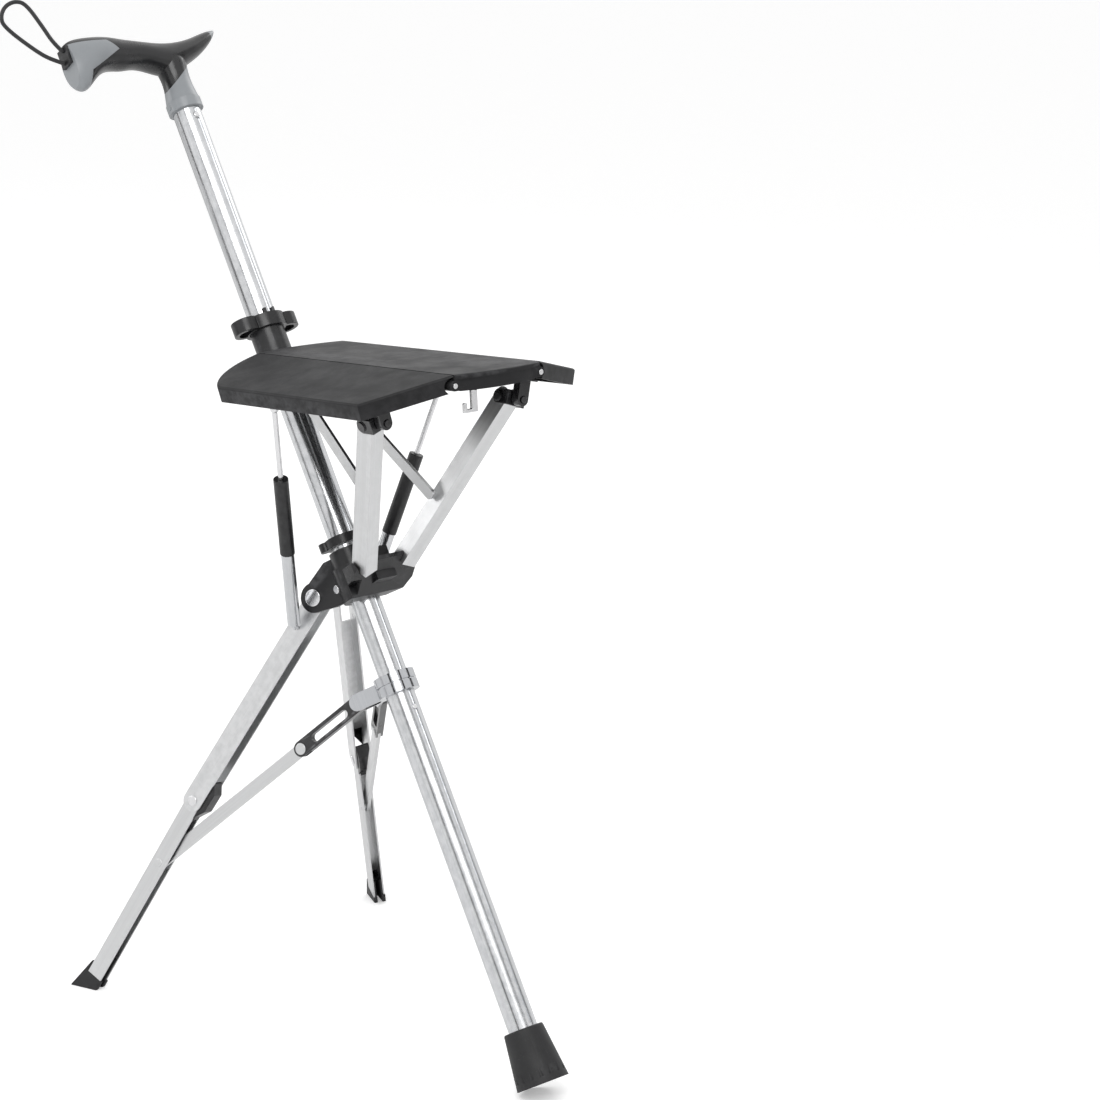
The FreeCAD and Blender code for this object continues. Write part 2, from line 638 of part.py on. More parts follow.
def make_centre_panel():
    skin = slab(bulged_outline(CREASE_HALF - CREASE_GAP, SEAT_LENGTH, END_BULGE), -SKIN_THICK, 0)
    top_edges = [e for e in skin.Edges if abs(e.CenterOfMass.z) < 0.01
                 and e.BoundBox.ZLength < 0.01 and e.BoundBox.YLength > 20]
    skin = skin.makeFillet(1.6, top_edges)
    walls = slab(bulged_outline(CENTRE_BODY_HALF, SEAT_LENGTH, END_BULGE - 0.3, 0.3),
                 -PANEL_THICK, -SKIN_THICK)
    inside = slab(bulged_outline(CENTRE_BODY_HALF, SEAT_LENGTH, END_BULGE - 0.3, RIM_WALL),
                  -PANEL_THICK - 1, -SKIN_THICK)
    shapes = [skin, walls.cut(inside)]
    eye = BRACKET_INSIDE + BRACKET_CHEEK + MOVING_GAP
    local_pin = SEAT_FRAME.inverse().multVec(SEAT_PIVOT)
    for side in (1, -1):
        y = side * eye if side > 0 else -eye - 4.0
        shapes.append(block((local_pin.x - 5, y, local_pin.z), (local_pin.x + 5, y + 4.0, -2)))
        shapes.append(cylinder(Vec(local_pin.x, y, local_pin.z), Vec(0, 1, 0), 5.0, 4.0))
        for station in knuckle_stations():
            y_hinge = side * CREASE_HALF
            shapes.append(cylinder(Vec(station, y_hinge, -HINGE_DEPTH), Vec(1, 0, 0),
                                   KNUCKLE_RADIUS, KNUCKLE_LENGTH))
            near = side * (CENTRE_BODY_HALF - 2)
            low_y, high_y = sorted((near, y_hinge))
            shapes.append(block((station, low_y, -HINGE_DEPTH - KNUCKLE_RADIUS),
                                (station + KNUCKLE_LENGTH, high_y, -2)))
    body = fused(shapes)
    body = body.cut(cylinder(Vec(local_pin.x, -40, local_pin.z), Vec(0, 1, 0),
                             SEAT_PIN_RADIUS + RUNNING_FIT, 80))
    for side in (1, -1):
        body = body.cut(cylinder(Vec(-5, side * CREASE_HALF, -HINGE_DEPTH), Vec(1, 0, 0),
                                 HINGE_ROD_RADIUS, SEAT_LENGTH + 10))
    return placed(body, SEAT_FRAME)


def make_hinge_rod():
    body = cylinder(Vec(0.5, CREASE_HALF, -HINGE_DEPTH), Vec(1, 0, 0), HINGE_ROD_RADIUS,
                    SEAT_LENGTH + 0.7)
    return placed(body, SEAT_FRAME)


def make_front_hook():
    """The bent wire hook under the front rim of the seat."""
    y = -HOOK_SIDE
    reach = (END_BULGE - 0.3) * (1 - (HOOK_SIDE / CENTRE_BODY_HALF) ** 2)
    far = SEAT_LENGTH - 0.3 + reach
    near = far - RIM_WALL
    bottom = -PANEL_THICK - HOOK_DROP
    shank = block((near, y - 2.5, bottom), (far, y + 2.5, -PANEL_THICK))
    foot = block((near, y - 9.5, bottom - 2.4), (far, y + 2.5, bottom))
    tip = block((near, y - 9.5, bottom), (far, y - 7.1, bottom + 4.5))
    return placed(fused([shank, foot, tip]), SEAT_FRAME)


def side_outline(inset=0.0, inner=0.0):
    """The left side panel's plan in its own frame: X along the crease, Y outward."""
    rear = inset
    front = SEAT_LENGTH - inset
    outer = SIDE_WIDTH - inset
    rear_outer = SIDE_REAR_SETBACK + inset
    front_outer = SEAT_LENGTH - SIDE_FRONT_SETBACK - inset
    middle = Vec(rear + 6.0, outer * 0.55, 0)
    return Part.Wire([
        Part.LineSegment(Vec(rear, inner, 0), Vec(front, inner, 0)).toShape(),
        Part.LineSegment(Vec(front, inner, 0), Vec(front_outer, outer, 0)).toShape(),
        Part.LineSegment(Vec(front_outer, outer, 0), Vec(rear_outer, outer, 0)).toShape(),
        Part.Arc(Vec(rear_outer, outer, 0), middle, Vec(rear, inner, 0)).toShape()])


def make_side_panel():
    """A side panel; its rim has a relief below for the spring's rod as the panel folds."""
    low = PANEL_TOP - PANEL_THICK
    plate = slab(side_outline(0, PANEL_TOP_EDGE), low, PANEL_TOP)
    under = block((-1, -20, low - 1), (SEAT_LENGTH + 1, 0.2, 0))
    plate = plate.cut(under)
    top_edges = [e for e in plate.Edges if e.BoundBox.ZLength < 0.01
                 and abs(e.CenterOfMass.z - PANEL_TOP) < 0.01 and e.CenterOfMass.y > 3]
    plate = plate.makeFillet(1.8, top_edges)
    pocket = slab(side_outline(RIM_WALL * 2.2, KNUCKLE_RADIUS + 3.0), low - 1,
                  PANEL_TOP - SKIN_THICK)
    knuckle = cylinder(Vec(0, 0, 0), Vec(1, 0, 0), KNUCKLE_RADIUS, SEAT_LENGTH)
    relief = block((13.5, 33.0, low - 1), (26.0, 46.0, 0.3))
    body = plate.cut(pocket).cut(relief).fuse(knuckle).removeSplitter()
    for station in knuckle_stations():
        space = cylinder(Vec(station - MOVING_GAP, 0, 0), Vec(1, 0, 0),
                         CREASE_HALF - CENTRE_BODY_HALF + 1.2, KNUCKLE_LENGTH + 2 * MOVING_GAP)
        body = body.cut(space)
    body = body.cut(cylinder(Vec(-5, 0, 0), Vec(1, 0, 0), HINGE_ROD_RADIUS + RUNNING_FIT,
                             SEAT_LENGTH + 10))
    return placed(body, PANEL_FRAME)


def strut_frame():
    return bar_frame(STRUT_TOP_POINT, STRUT_BOTTOM_POINT, STRUT_PIN_AXIS)


def make_strut_bracket():
    """The black lug under the side panel that the strut's clevis turns in."""
    x, y, z = STRUT_TOP
    low = PANEL_TOP - PANEL_THICK
    near = x + CLEVIS_FRONT + MOVING_GAP
    far = near + CLEVIS_LUG
    half = CLEVIS_LUG_RADIUS
    base = block((x - 6, y - half - 4, low - 1.6), (far + 3, y + half + 4, low))
    lug = block((near, y - half, z), (far, y + half, low - 1.0))
    barrel = cylinder(Vec(near, y, z), Vec(1, 0, 0), half, CLEVIS_LUG)
    body = fused([base, lug, barrel])
    bore = cylinder(Vec(near - 1, y, z), Vec(1, 0, 0), CLEVIS_STUB + RUNNING_FIT, CLEVIS_LUG + 2)
    return placed(body.cut(bore), PANEL_FRAME)


def make_strut_clevis():
    """The turning clevis with the strut's pin, and a stub along the crease direction."""
    inner = STRUT_WIDTH / 2 + MOVING_GAP
    outer = inner + CLEVIS_CHEEK
    bridge = STRUT_HEIGHT / 2 + MOVING_GAP
    rest = frame(STRUT_TOP_POINT, SEAT_AXIS, STRUT_PIN_AXIS, SEAT_AXIS.cross(STRUT_PIN_AXIS))
    shapes = []
    for first in (inner, -outer):
        shapes.append(cylinder(Vec(0, first, 0), Vec(0, 1, 0), CLEVIS_EYE, CLEVIS_CHEEK))
        shapes.append(block((0, first, -CLEVIS_EYE), (bridge + 0.5, first + CLEVIS_CHEEK,
                                                      CLEVIS_EYE)))
    shapes.append(block((bridge, -outer, -CLEVIS_EYE), (CLEVIS_FRONT, outer, CLEVIS_EYE)))
    shapes.append(cylinder(Vec(CLEVIS_FRONT - 1, 0, 0), Vec(1, 0, 0), CLEVIS_STUB,
                           CLEVIS_LUG + MOVING_GAP + 2.2))
    shapes.append(cylinder(Vec(0, -outer, 0), Vec(0, 1, 0), STRUT_PIN_RADIUS, 2 * outer))
    for side in (1, -1):
        shapes.append(cylinder(Vec(0, side * outer, 0), Vec(0, side, 0),
                               STRUT_PIN_RADIUS + 1.4, 1.2))
    return placed(fused(shapes), rest)


def make_strut():
    body = channel(STRUT_LENGTH, STRUT_HEIGHT, STRUT_WIDTH, -1)
    square_end = block((STRUT_LENGTH - STRUT_SHORT, -STRUT_HEIGHT, -STRUT_WIDTH),
                       (STRUT_LENGTH + 20, STRUT_HEIGHT, STRUT_WIDTH))
    body = body.cut(square_end)
    body = body.cut(pin_hole(0, STRUT_PIN_RADIUS + RUNNING_FIT))
    return placed(body, strut_frame())


def leg_plate(outline, low, high):
    """A plate in the leg plane: outline points are out from the pivot and along the tube."""
    return placed(extruded([(x, y, low) for x, y in outline], Vec(0, 0, high - low)), LEG_FRAME)


def leg_disc(centre, radius, low, high):
    start = Vec(centre[0], centre[1], low)
    return placed(cylinder(start, Vec(0, 0, 1), radius, high - low), LEG_FRAME)


def tube_room():
    """The bore that every piece sliding on the main tube has."""
    return placed(cylinder(Vec(0, 0, 0), Vec(0, 0, 1), TUBE_RADIUS + RUNNING_FIT, TUBE_TOP),
                  TUBE_FRAME)


def pocket_tool():
    """The room a strut's foot needs in the hub shelf, open towards the seat."""
    half_height = STRUT_HEIGHT / 2 + POCKET_GAP
    half_width = STRUT_WIDTH / 2 + POCKET_GAP
    floor = STRUT_LENGTH - STRUT_SHORT + FLOOR_GAP
    tool = block((STRUT_LENGTH - 60, -half_height, -half_width), (floor, 60, half_width))
    way_out = block((STRUT_LENGTH - 60, -1.0, 0), (floor, 60, half_width + POCKET_FLARE))
    return placed(tool.fuse(way_out), strut_frame())


def make_hub():
    """Collar on the tube, cheeks for the legs behind and a shelf for the struts in front."""
    bore = TUBE_RADIUS + RUNNING_FIT
    collar_top = HUB_TOP - 13
    collar = tube(HUB_RADIUS, bore, HUB_BOTTOM, collar_top)
    neck = tube(HUB_RADIUS - 2, bore, collar_top, HUB_TOP)
    low = LEG_WIDTH / 2 + MOVING_GAP
    high = low + CHEEK_THICK
    arm = [(0, CHEEK_EYE), (-18, 21), (-30, 21), (-30, -14), (-16, -14), (0, -CHEEK_EYE)]
    cheek = leg_plate(arm, low, high).fuse(leg_disc((0, 0), CHEEK_EYE, low, high))
    wall = block((LEG_PIVOT[0] + CHEEK_EYE - 0.5, -8.0, HUB_BOTTOM + 6),
                 (-10, 8.0, HUB_TOP - 9))
    outline = [(6, -15), (26, -SHELF_HALF), (38, -SHELF_HALF), (SHELF_FRONT, -24),
               (SHELF_FRONT, 24), (38, SHELF_HALF), (26, SHELF_HALF), (6, 15)]
    shelf = extruded([(f, y, HUB_BOTTOM - 3) for f, y in outline],
                     Vec(0, 0, SHELF_THICK))
    low_edge = HUB_BOTTOM - 3
    chin = extruded([(18, -60, low_edge), (37, -60, low_edge + 12.6),
                     (60, -60, low_edge + 29.0), (60, -60, low_edge - 30),
                     (18, -60, low_edge - 30)], Vec(0, 120, 0))
    island = block((14, -9, low_edge + 6), (SHELF_FRONT - 9, 9, HUB_TOP - 11))
    tongue = extruded([(-17, -2, HUB_BOTTOM + 4), (-11.0, -2, HUB_BOTTOM + 4),
                       (-11.4, -2, HUB_BOTTOM - TONGUE), (-12.8, -2, HUB_BOTTOM - TONGUE)],
                      Vec(0, 4, 0))
    in_tube = [placed(s, TUBE_FRAME)
               for s in (collar, neck, wall, shelf.cut(chin), island, tongue)]
    body = fused(in_tube + [cheek, mirrored(cheek)]).cut(tube_room())
    pin = leg_disc((0, 0), LEG_PIN_RADIUS, low - 1, high + 1)
    pocket = pocket_tool()
    for tool in (pocket, pin):
        body = body.cut(tool).cut(mirrored(tool))
    notch = block((20.5, -HOOK_SIDE - 10.5, low_edge - 2), (60, -HOOK_SIDE + 3.5, low_edge + 9.5))
    return body.cut(placed(notch, TUBE_FRAME))


def make_hub_bolt():
    """The small bolt that clamps the hub's collar, on the near side."""
    low = HUB_RADIUS - 0.5
    body = cylinder(Vec(-6.0, -low, HUB_BOTTOM + 12), Vec(0, -1, 0), 3.2, 2.4)
    return placed(body, TUBE_FRAME)


def make_leg_pin():
    """A rivet through the hub cheek and the leg's outer flange."""
    outer = LEG_WIDTH / 2 + MOVING_GAP + CHEEK_THICK
    shank = leg_disc((0, 0), LEG_PIN_RADIUS, LEG_WIDTH / 2 - SHEET + 0.05, outer)
    head = leg_disc((0, 0), LEG_PIN_HEAD, outer, outer + 2.0)
    return shank.fuse(head)


def make_guide_collar():
    """The thin collar that rides on the tube just above the hub."""
    low = HUB_TOP + COLLAR_GAP
    body = tube(COLLAR_RADIUS, TUBE_RADIUS + RUNNING_FIT, low, low + COLLAR_LENGTH)
    shapes = [body]
    for side in (1, -1):
        shapes.append(cylinder(Vec(-9, side * 12, low), Vec(0, 0, 1), 4.5, COLLAR_LENGTH))
    return placed(fused(shapes), TUBE_FRAME).cut(tube_room())


def upper_frame():
    return bar_frame(PIVOT, KNEE_POINT, LEG_PIN_AXIS)


def lower_frame():
    return bar_frame(KNEE_POINT, FOOT_POINT, LEG_PIN_AXIS)


def make_upper_leg():
    """A channel open downwards, so that the lower leg folds up into it."""
    body = channel(UPPER_LENGTH, LEG_HEIGHT, LEG_WIDTH, 1)
    web_low = LEG_HEIGHT / 2 - SHEET - 0.01
    inside = LEG_WIDTH / 2 - SHEET
    for first, last in ((-20, HUB_END_CUT), (UPPER_LENGTH - KNEE_END_CUT, UPPER_LENGTH + 20)):
        body = body.cut(block((first, web_low, -inside), (last, LEG_HEIGHT, inside)))
    outer_hole = cylinder(Vec(0, 0, 0), Vec(0, 0, 1), LEG_PIN_RADIUS + RUNNING_FIT, LEG_WIDTH)
    body = body.cut(outer_hole).cut(pin_hole(UPPER_LENGTH, KNEE_PIN_RADIUS))
    hook_hole = cylinder(Vec(SPRING_HOOK_FROM_PIVOT, 0, 0), Vec(0, 0, 1), HOOK_HOLE, LEG_WIDTH)
    return placed(body.cut(hook_hole), upper_frame())


def make_knee_pin():
    half = LEG_WIDTH / 2
    body = cylinder(Vec(UPPER_LENGTH, 0, -half), Vec(0, 0, 1), KNEE_PIN_RADIUS, 2 * half)
    for side in (1, -1):
        head = cylinder(Vec(UPPER_LENGTH, 0, side * half), Vec(0, 0, side),
                        KNEE_PIN_RADIUS + 1.8, 0.8)
        body = body.fuse(head)
    return placed(body.removeSplitter(), upper_frame())


def make_lower_leg():
    body = channel(LOWER_LENGTH + 30, LOWER_HEIGHT, LOWER_WIDTH, 1)
    body = body.cut(block((LOWER_LENGTH - 10, -30, -30), (LOWER_LENGTH + 60, 30, 30)))
    body = body.cut(pin_hole(0, KNEE_PIN_RADIUS + RUNNING_FIT))
    half = LOWER_WIDTH / 2
    for side in (1, -1):
        rivet = cylinder(Vec(STAY_PIN_FROM_KNEE, 0, side * half), Vec(0, 0, side), 3.0, 0.4)
        body = body.fuse(rivet)
    return placed(body, lower_frame())


def make_knee_block():
    """The black plug in the lower leg's end that stops the knee when it is straight."""
    under = -LEG_HEIGHT / 2
    wide = LEG_WIDTH / 2 - SHEET - MOVING_GAP
    edge = -LOWER_HEIGHT / 2
    outline = [(-22, under - 0.1), (-14, under - 5), (2, under - 4.5), (12, edge), (-22, edge)]
    heel = extruded([(x, y, -wide) for x, y in outline], Vec(0, 0, 2 * wide))
    inside = LOWER_WIDTH / 2 - SHEET
    plug = block((KNEE_PIN_RADIUS + 1.3, edge - 0.5, -inside),
                 (14, LOWER_HEIGHT / 2 - SHEET, inside))
    return placed(heel.fuse(plug).removeSplitter(), lower_frame())


def make_rear_foot():
    """Rubber foot plugged into the lower leg, cut flat where it stands."""
    half = REAR_FOOT_WIDTH / 2
    top = LOWER_HEIGHT / 2
    end = LOWER_LENGTH - 10
    outline = [(end - 11, top), (end - 9, top + 1.6), (end + 24, top + 8.6),
               (end + 24, -top - 1.1), (end, -top - 1.1), (end, top)]
    body = extruded([(x, y, -half) for x, y in outline], Vec(0, 0, 2 * half))
    inside = LOWER_WIDTH / 2 - SHEET
    plug = block((end - 20, -top + 0.4, -inside), (end, top - SHEET, inside))
    half_slot = STAY_THICK / 2 + MOVING_GAP
    slot = block((end - 30, -40, -half_slot), (end + 40, STAY_WIDTH / 2 + MOVING_GAP, half_slot))
    body = placed(body.fuse(plug).cut(slot), lower_frame())
    floor = Part.makeBox(2000, 2000, 100, Vec(-1000, -1000, -100))
    return body.cut(floor).removeSplitter()


def make_ring():
    """Two bands round the tube, with a pair of ears on each side for the stays."""
    bore = TUBE_RADIUS + RUNNING_FIT
    low = RING_HEIGHT - RING_BAND - RING_GAP / 2
    high = RING_HEIGHT + RING_BAND + RING_GAP / 2
    shapes = [tube(RING_RADIUS - 1.4, bore, low, high),
              tube(RING_RADIUS, bore, low, low + RING_BAND),
              tube(RING_RADIUS, bore, high - RING_BAND, high)]
    body = placed(fused(shapes), TUBE_FRAME)
    root = LEG_FRAME.inverse().multVec(STAY_ROOT_POINT)
    near = STAY_BLADE / 2 + MOVING_GAP
    ears = []
    for first, last in ((near, near + EAR_THICK), (-near - EAR_THICK, -near)):
        arm = leg_plate([(root.x, root.y + EAR_HALF), (-30, root.y + EAR_HALF),
                         (-30, root.y - EAR_HALF), (root.x, root.y - EAR_HALF)], first, last)
        ears.append(arm.fuse(leg_disc((root.x, root.y), EAR_HALF, first, last)))
    pin = leg_disc((root.x, root.y), STAY_PIN_RADIUS, -near - 0.1, near + 0.1)
    for side in (1, -1):
        for ear in ears + [pin]:
            body = body.fuse(ear if side > 0 else mirrored(ear))
    return body.removeSplitter().cut(tube_room())


def stay_frame():
    return bar_frame(STAY_ROOT_POINT, STAY_PIN, LEG_PIN_AXIS)


def make_stay_plate():
    """The slotted black plate between the ring's ears and the stay bar."""
    body = bar(PLATE_LENGTH, PLATE_WIDTH, STAY_BLADE)
    window = bar(WINDOW_LENGTH - WINDOW_WIDTH, WINDOW_WIDTH, 20)
    window.translate(Vec((PLATE_LENGTH - WINDOW_LENGTH + WINDOW_WIDTH) / 2, 0, 0))
    half = STAY_THICK / 2
    fork = block((PLATE_LENGTH - STAY_WIDTH / 2 - 1, -30, -half), (PLATE_LENGTH + 30, 30, half))
    body = body.cut(window).cut(fork).cut(pin_hole(0, STAY_PIN_RADIUS + RUNNING_FIT))
    return placed(body.cut(pin_hole(PLATE_LENGTH, STAY_PIN_RADIUS)), stay_frame())


def make_stay_bar():
    """The silver bar, with the rivets at its two ends."""
    body = bar(STAY_LENGTH - PLATE_LENGTH, STAY_WIDTH, STAY_THICK)
    body.translate(Vec(PLATE_LENGTH, 0, 0))
    half = STAY_BLADE / 2
    rivet = cylinder(Vec(PLATE_LENGTH, 0, -half), Vec(0, 0, 1), STAY_PIN_RADIUS, 2 * half)
    shapes = [body, rivet]
    for side in (1, -1):
        shapes.append(cylinder(Vec(PLATE_LENGTH, 0, side * half), Vec(0, 0, side),
                               RIVET_HEAD, 0.8))
    tip = LOWER_WIDTH / 2 - SHEET - MOVING_GAP
    shapes.append(cylinder(Vec(STAY_LENGTH, 0, -tip), Vec(0, 0, 1), STAY_PIN_RADIUS, 2 * tip))
    return placed(fused(shapes), stay_frame())


def spring_frame():
    return bar_frame(SPRING_HOOK, SPRING_TOP_POINT, LEG_PIN_AXIS)


def spring_body_start():
    return SPRING_LENGTH - SPRING_ROD_SHOWN - SPRING_GRIP_LENGTH - SPRING_TUBE_LENGTH


def make_spring_tube():
    """The silver lower half of the spring strut, with the hook that enters the leg."""
    start = spring_body_start()
    x = Vec(1, 0, 0)
    body = cylinder(Vec(start, 0, 0), x, SPRING_TUBE_RADIUS, SPRING_TUBE_LENGTH)
    bore = cylinder(Vec(start + 5, 0, 0), x, SPRING_BORE, SPRING_TUBE_LENGTH)
    neck = cylinder(Vec(-HOOK_RADIUS, 0, 0), x, HOOK_RADIUS, start + HOOK_RADIUS + 1)
    reach = SPRING_SIDE - (LEG_WIDTH / 2 - SHEET)
    inward = spring_frame().inverse().Rotation.multVec(LEG_PIN_AXIS * -1)
    turn = cylinder(Vec(0, 0, 0), inward, HOOK_RADIUS, reach - 0.1)
    return placed(fused([body.cut(bore), neck, turn]), spring_frame())


def make_spring_grip():
    """The black upper half of the spring strut."""
    start = spring_body_start() + SPRING_TUBE_LENGTH
    x = Vec(1, 0, 0)
    body = cylinder(Vec(start, 0, 0), x, SPRING_TUBE_RADIUS + 0.6, SPRING_GRIP_LENGTH)
    bore = cylinder(Vec(start - 1, 0, 0), x, SPRING_BORE, SPRING_GRIP_LENGTH - 4)
    guide = cylinder(Vec(start - 1, 0, 0), x, SPRING_ROD_RADIUS + RUNNING_FIT,
                     SPRING_GRIP_LENGTH + 2)
    return placed(body.cut(bore).cut(guide), spring_frame())


def make_spring_rod():
    """The rod that slides into the spring strut, with a ball end under the panel."""
    start = SPRING_LENGTH - SPRING_ROD_SHOWN - SPRING_ROD_HIDDEN
    x = Vec(1, 0, 0)
    body = cylinder(Vec(start, 0, 0), x, SPRING_ROD_RADIUS, SPRING_LENGTH - start)
    piston = cylinder(Vec(start - 4, 0, 0), x, SPRING_BORE - 0.3, 4.5)
    ball = Part.makeSphere(BALL_RADIUS, Vec(SPRING_LENGTH, 0, 0))
    return placed(fused([body, piston, ball]), spring_frame())


def make_spring_lug():
    """The black lug under the side panel that the rod's ball end bears on."""
    x, y, z = SPRING_TOP
    low = PANEL_TOP - SKIN_THICK
    seat = z + BALL_RADIUS + LUG_GAP
    body = block((x - LUG_HALF, y - LUG_HALF, seat), (x + LUG_HALF, y + LUG_HALF, low))
    foot = block((x - LUG_HALF - 4, y - LUG_HALF - 1, low - 1.6),
                 (x + LUG_HALF + 4, y + LUG_HALF + 1, low))
    return placed(body.fuse(foot).removeSplitter(), PANEL_FRAME)


def link_frame():
    return bar_frame(LINK_ROOT, LINK_TIP, LEFT_AXIS)


def make_side_link():
    """The flat link from the sleeve's bracket to the inner side of the strut."""
    half = LINK_WIDTH / 2
    eye = cylinder(LINK_ROOT - LEFT_AXIS * (LINK_THICK / 2), LEFT_AXIS, half, LINK_THICK)
    length = (LINK_TIP - LINK_ROOT).Length
    flat = block((3.5, -half, -LINK_THICK / 2), (length - half, half, LINK_THICK / 2))
    end = cylinder(Vec(length - half, 0, -LINK_THICK / 2), Vec(0, 0, 1), half, LINK_THICK)
    body = eye.fuse(placed(flat.fuse(end), link_frame()))
    hole = cylinder(LINK_ROOT - LEFT_AXIS * 20, LEFT_AXIS, SEAT_PIN_RADIUS + LINK_PLAY, 40)
    return body.cut(hole).removeSplitter()


def build_nodes():
    """Every piece of the object by its node name."""
    nodes = {"main_tube": make_main_tube(), "main_foot": make_main_foot(),
             "ring_stop_rivet": make_stop_rivet()}
    nodes.update(make_handle())
    nodes["neck_band"] = make_neck_band()
    nodes["stem_tube"] = make_stem_tube()
    nodes["snap_button"] = make_snap_button()
    nodes["button_spring"] = make_button_spring()
    nodes["strap_clip"] = make_strap_clip()
    nodes["wrist_strap"] = make_wrist_strap()
    nodes["sleeve"] = make_sleeve()
    nodes["wing_knob"] = make_wing_knob()
    nodes["seat_bracket"] = make_seat_bracket()
    nodes["seat_pin"] = make_seat_pin()
    nodes["link_pin"] = make_link_pin()
    nodes["centre_panel"] = make_centre_panel()
    nodes["front_hook"] = make_front_hook()
    nodes["hub"] = make_hub()
    nodes["hub_bolt"] = make_hub_bolt()
    nodes["guide_collar"] = make_guide_collar()
    nodes["ring"] = make_ring()
    pairs = {"hinge_rod": make_hinge_rod, "side_panel": make_side_panel,
             "strut_bracket": make_strut_bracket, "strut_clevis": make_strut_clevis,
             "strut": make_strut, "side_link": make_side_link, "leg_pin": make_leg_pin,
             "upper_leg": make_upper_leg, "knee_pin": make_knee_pin,
             "knee_block": make_knee_block, "lower_leg": make_lower_leg,
             "rear_foot": make_rear_foot, "stay_plate": make_stay_plate,
             "stay_bar": make_stay_bar, "spring_tube": make_spring_tube,
             "spring_grip": make_spring_grip, "spring_rod": make_spring_rod,
             "spring_lug": make_spring_lug}
    for name, make in pairs.items():
        shape = make()
        nodes["left_" + name] = shape
        nodes["right_" + name] = mirrored(shape)
    return nodes


def seat_shift(nodes):
    """The move that puts the middle of the object's footprint box at the origin."""
    boxes = [shape.BoundBox for name, shape in nodes.items() if name != "wrist_strap"]
    low_x = min(box.XMin for box in boxes)
    high_x = max(box.XMax for box in boxes)
    low_z = min(box.ZMin for box in boxes)
    return Vec(-(low_x + high_x) / 2, 0, -low_z)


os.makedirs("parts", exist_ok=True)
NODES = build_nodes()
NODES["hub"] = NODES["hub"].cut(NODES["hub_bolt"])
NODES["strap_clip"] = NODES["strap_clip"].cut(NODES["wrist_strap"])
SHIFT = seat_shift(NODES)
for node_name, node_shape in NODES.items():
    node_shape.translate(SHIFT)
    node_shape.exportStep("parts/%s.step" % node_name)
    print("%-18s solids %d valid %s volume %.0f" % (
        node_name, len(node_shape.Solids), node_shape.isValid(), node_shape.Volume))
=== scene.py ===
"""A folding walking stick seat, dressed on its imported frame."""

import json
import math

import bmesh
import bpy
from mathutils import Matrix, Vector

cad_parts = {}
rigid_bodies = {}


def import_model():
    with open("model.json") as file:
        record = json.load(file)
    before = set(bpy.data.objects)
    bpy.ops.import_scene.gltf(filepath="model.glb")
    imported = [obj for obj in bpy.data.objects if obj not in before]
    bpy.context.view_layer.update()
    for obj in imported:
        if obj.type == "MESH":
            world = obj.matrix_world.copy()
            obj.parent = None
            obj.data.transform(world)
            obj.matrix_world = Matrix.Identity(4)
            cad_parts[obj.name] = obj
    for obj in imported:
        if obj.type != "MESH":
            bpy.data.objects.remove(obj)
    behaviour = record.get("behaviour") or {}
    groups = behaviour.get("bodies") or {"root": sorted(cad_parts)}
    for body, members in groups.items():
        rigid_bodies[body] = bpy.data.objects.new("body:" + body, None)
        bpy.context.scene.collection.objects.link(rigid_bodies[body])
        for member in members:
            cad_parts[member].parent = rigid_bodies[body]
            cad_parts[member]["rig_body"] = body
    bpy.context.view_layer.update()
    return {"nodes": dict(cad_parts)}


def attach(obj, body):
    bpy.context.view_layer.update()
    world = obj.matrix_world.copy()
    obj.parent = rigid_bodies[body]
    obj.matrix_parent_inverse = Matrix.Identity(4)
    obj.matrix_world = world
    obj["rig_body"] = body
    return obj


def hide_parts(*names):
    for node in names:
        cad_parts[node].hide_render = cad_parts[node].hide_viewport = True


bl_info = {
    "name": "Walking Stick Seat",
    "version": (1, 0, 0),
    "blender": (4, 5, 0),
    "location": "3D View > Sidebar > Stick Seat",
    "description": "Dresses the frame of a folding walking stick seat",
    "category": "Object",
}

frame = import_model()
NODES = frame["nodes"]

# The stick's own line: its foot, its front side and its length
FOOT_CENTRE = Vector((0.230072, 0.0, 0.010843))
FRONT = Vector((0.84028, 0.0, 0.54215))
LEFT = Vector((0.0, 1.0, 0.0))
ALONG = Vector((-0.54215, 0.0, 0.84028))
LOWER_LEG = Vector((-0.3378, 0.34998, -0.87373))
STRUT_LINE = Vector((-0.43614, -0.28997, -0.85188))
SPRING_LINE = Vector((0.22189, 0.23816, 0.94554))
PIVOT = Vector((-0.01872, 0.0105, 0.32635))
KNEE = Vector((-0.08977, 0.07994, 0.15924))
STAY_ROOT = Vector((0.02833, 0.01027, 0.25436))
STAY_TIP = Vector((-0.11004, 0.10094, 0.10682))
LINK_ROOT = Vector((-0.05072, 0.01455, 0.49493))
LINK_TIP = Vector((0.07114, 0.02656, 0.41673))
TUBE_TOP = 793.0

# The strap's route: forward, along the grip, height over the top of the tube, in mm
STRAP_ROUTE = (
    (2.0, -91.5, 57.0), (4.0, -98.5, 64.2), (5.5, -103.2, 75.9), (5.0, -110.5, 97.5),
    (3.0, -117.7, 101.3), (1.0, -126.4, 98.5), (-1.0, -131.8, 91.2), (-3.0, -131.0, 83.1),
    (-3.5, -109.0, 60.1), (-2.0, -99.5, 52.5), (-1.0, -91.5, 48.5),
)
STRAP_DIAMETER = 0.0032
MILLIMETRE = 0.001

# The hard parts of the handle, and the two sides of what comes in pairs
HARD_HANDLE_NODES = ("handle_tail_cap", "handle_beak_cap", "handle_neck", "neck_band")
PAIRED = ("left_", "right_")

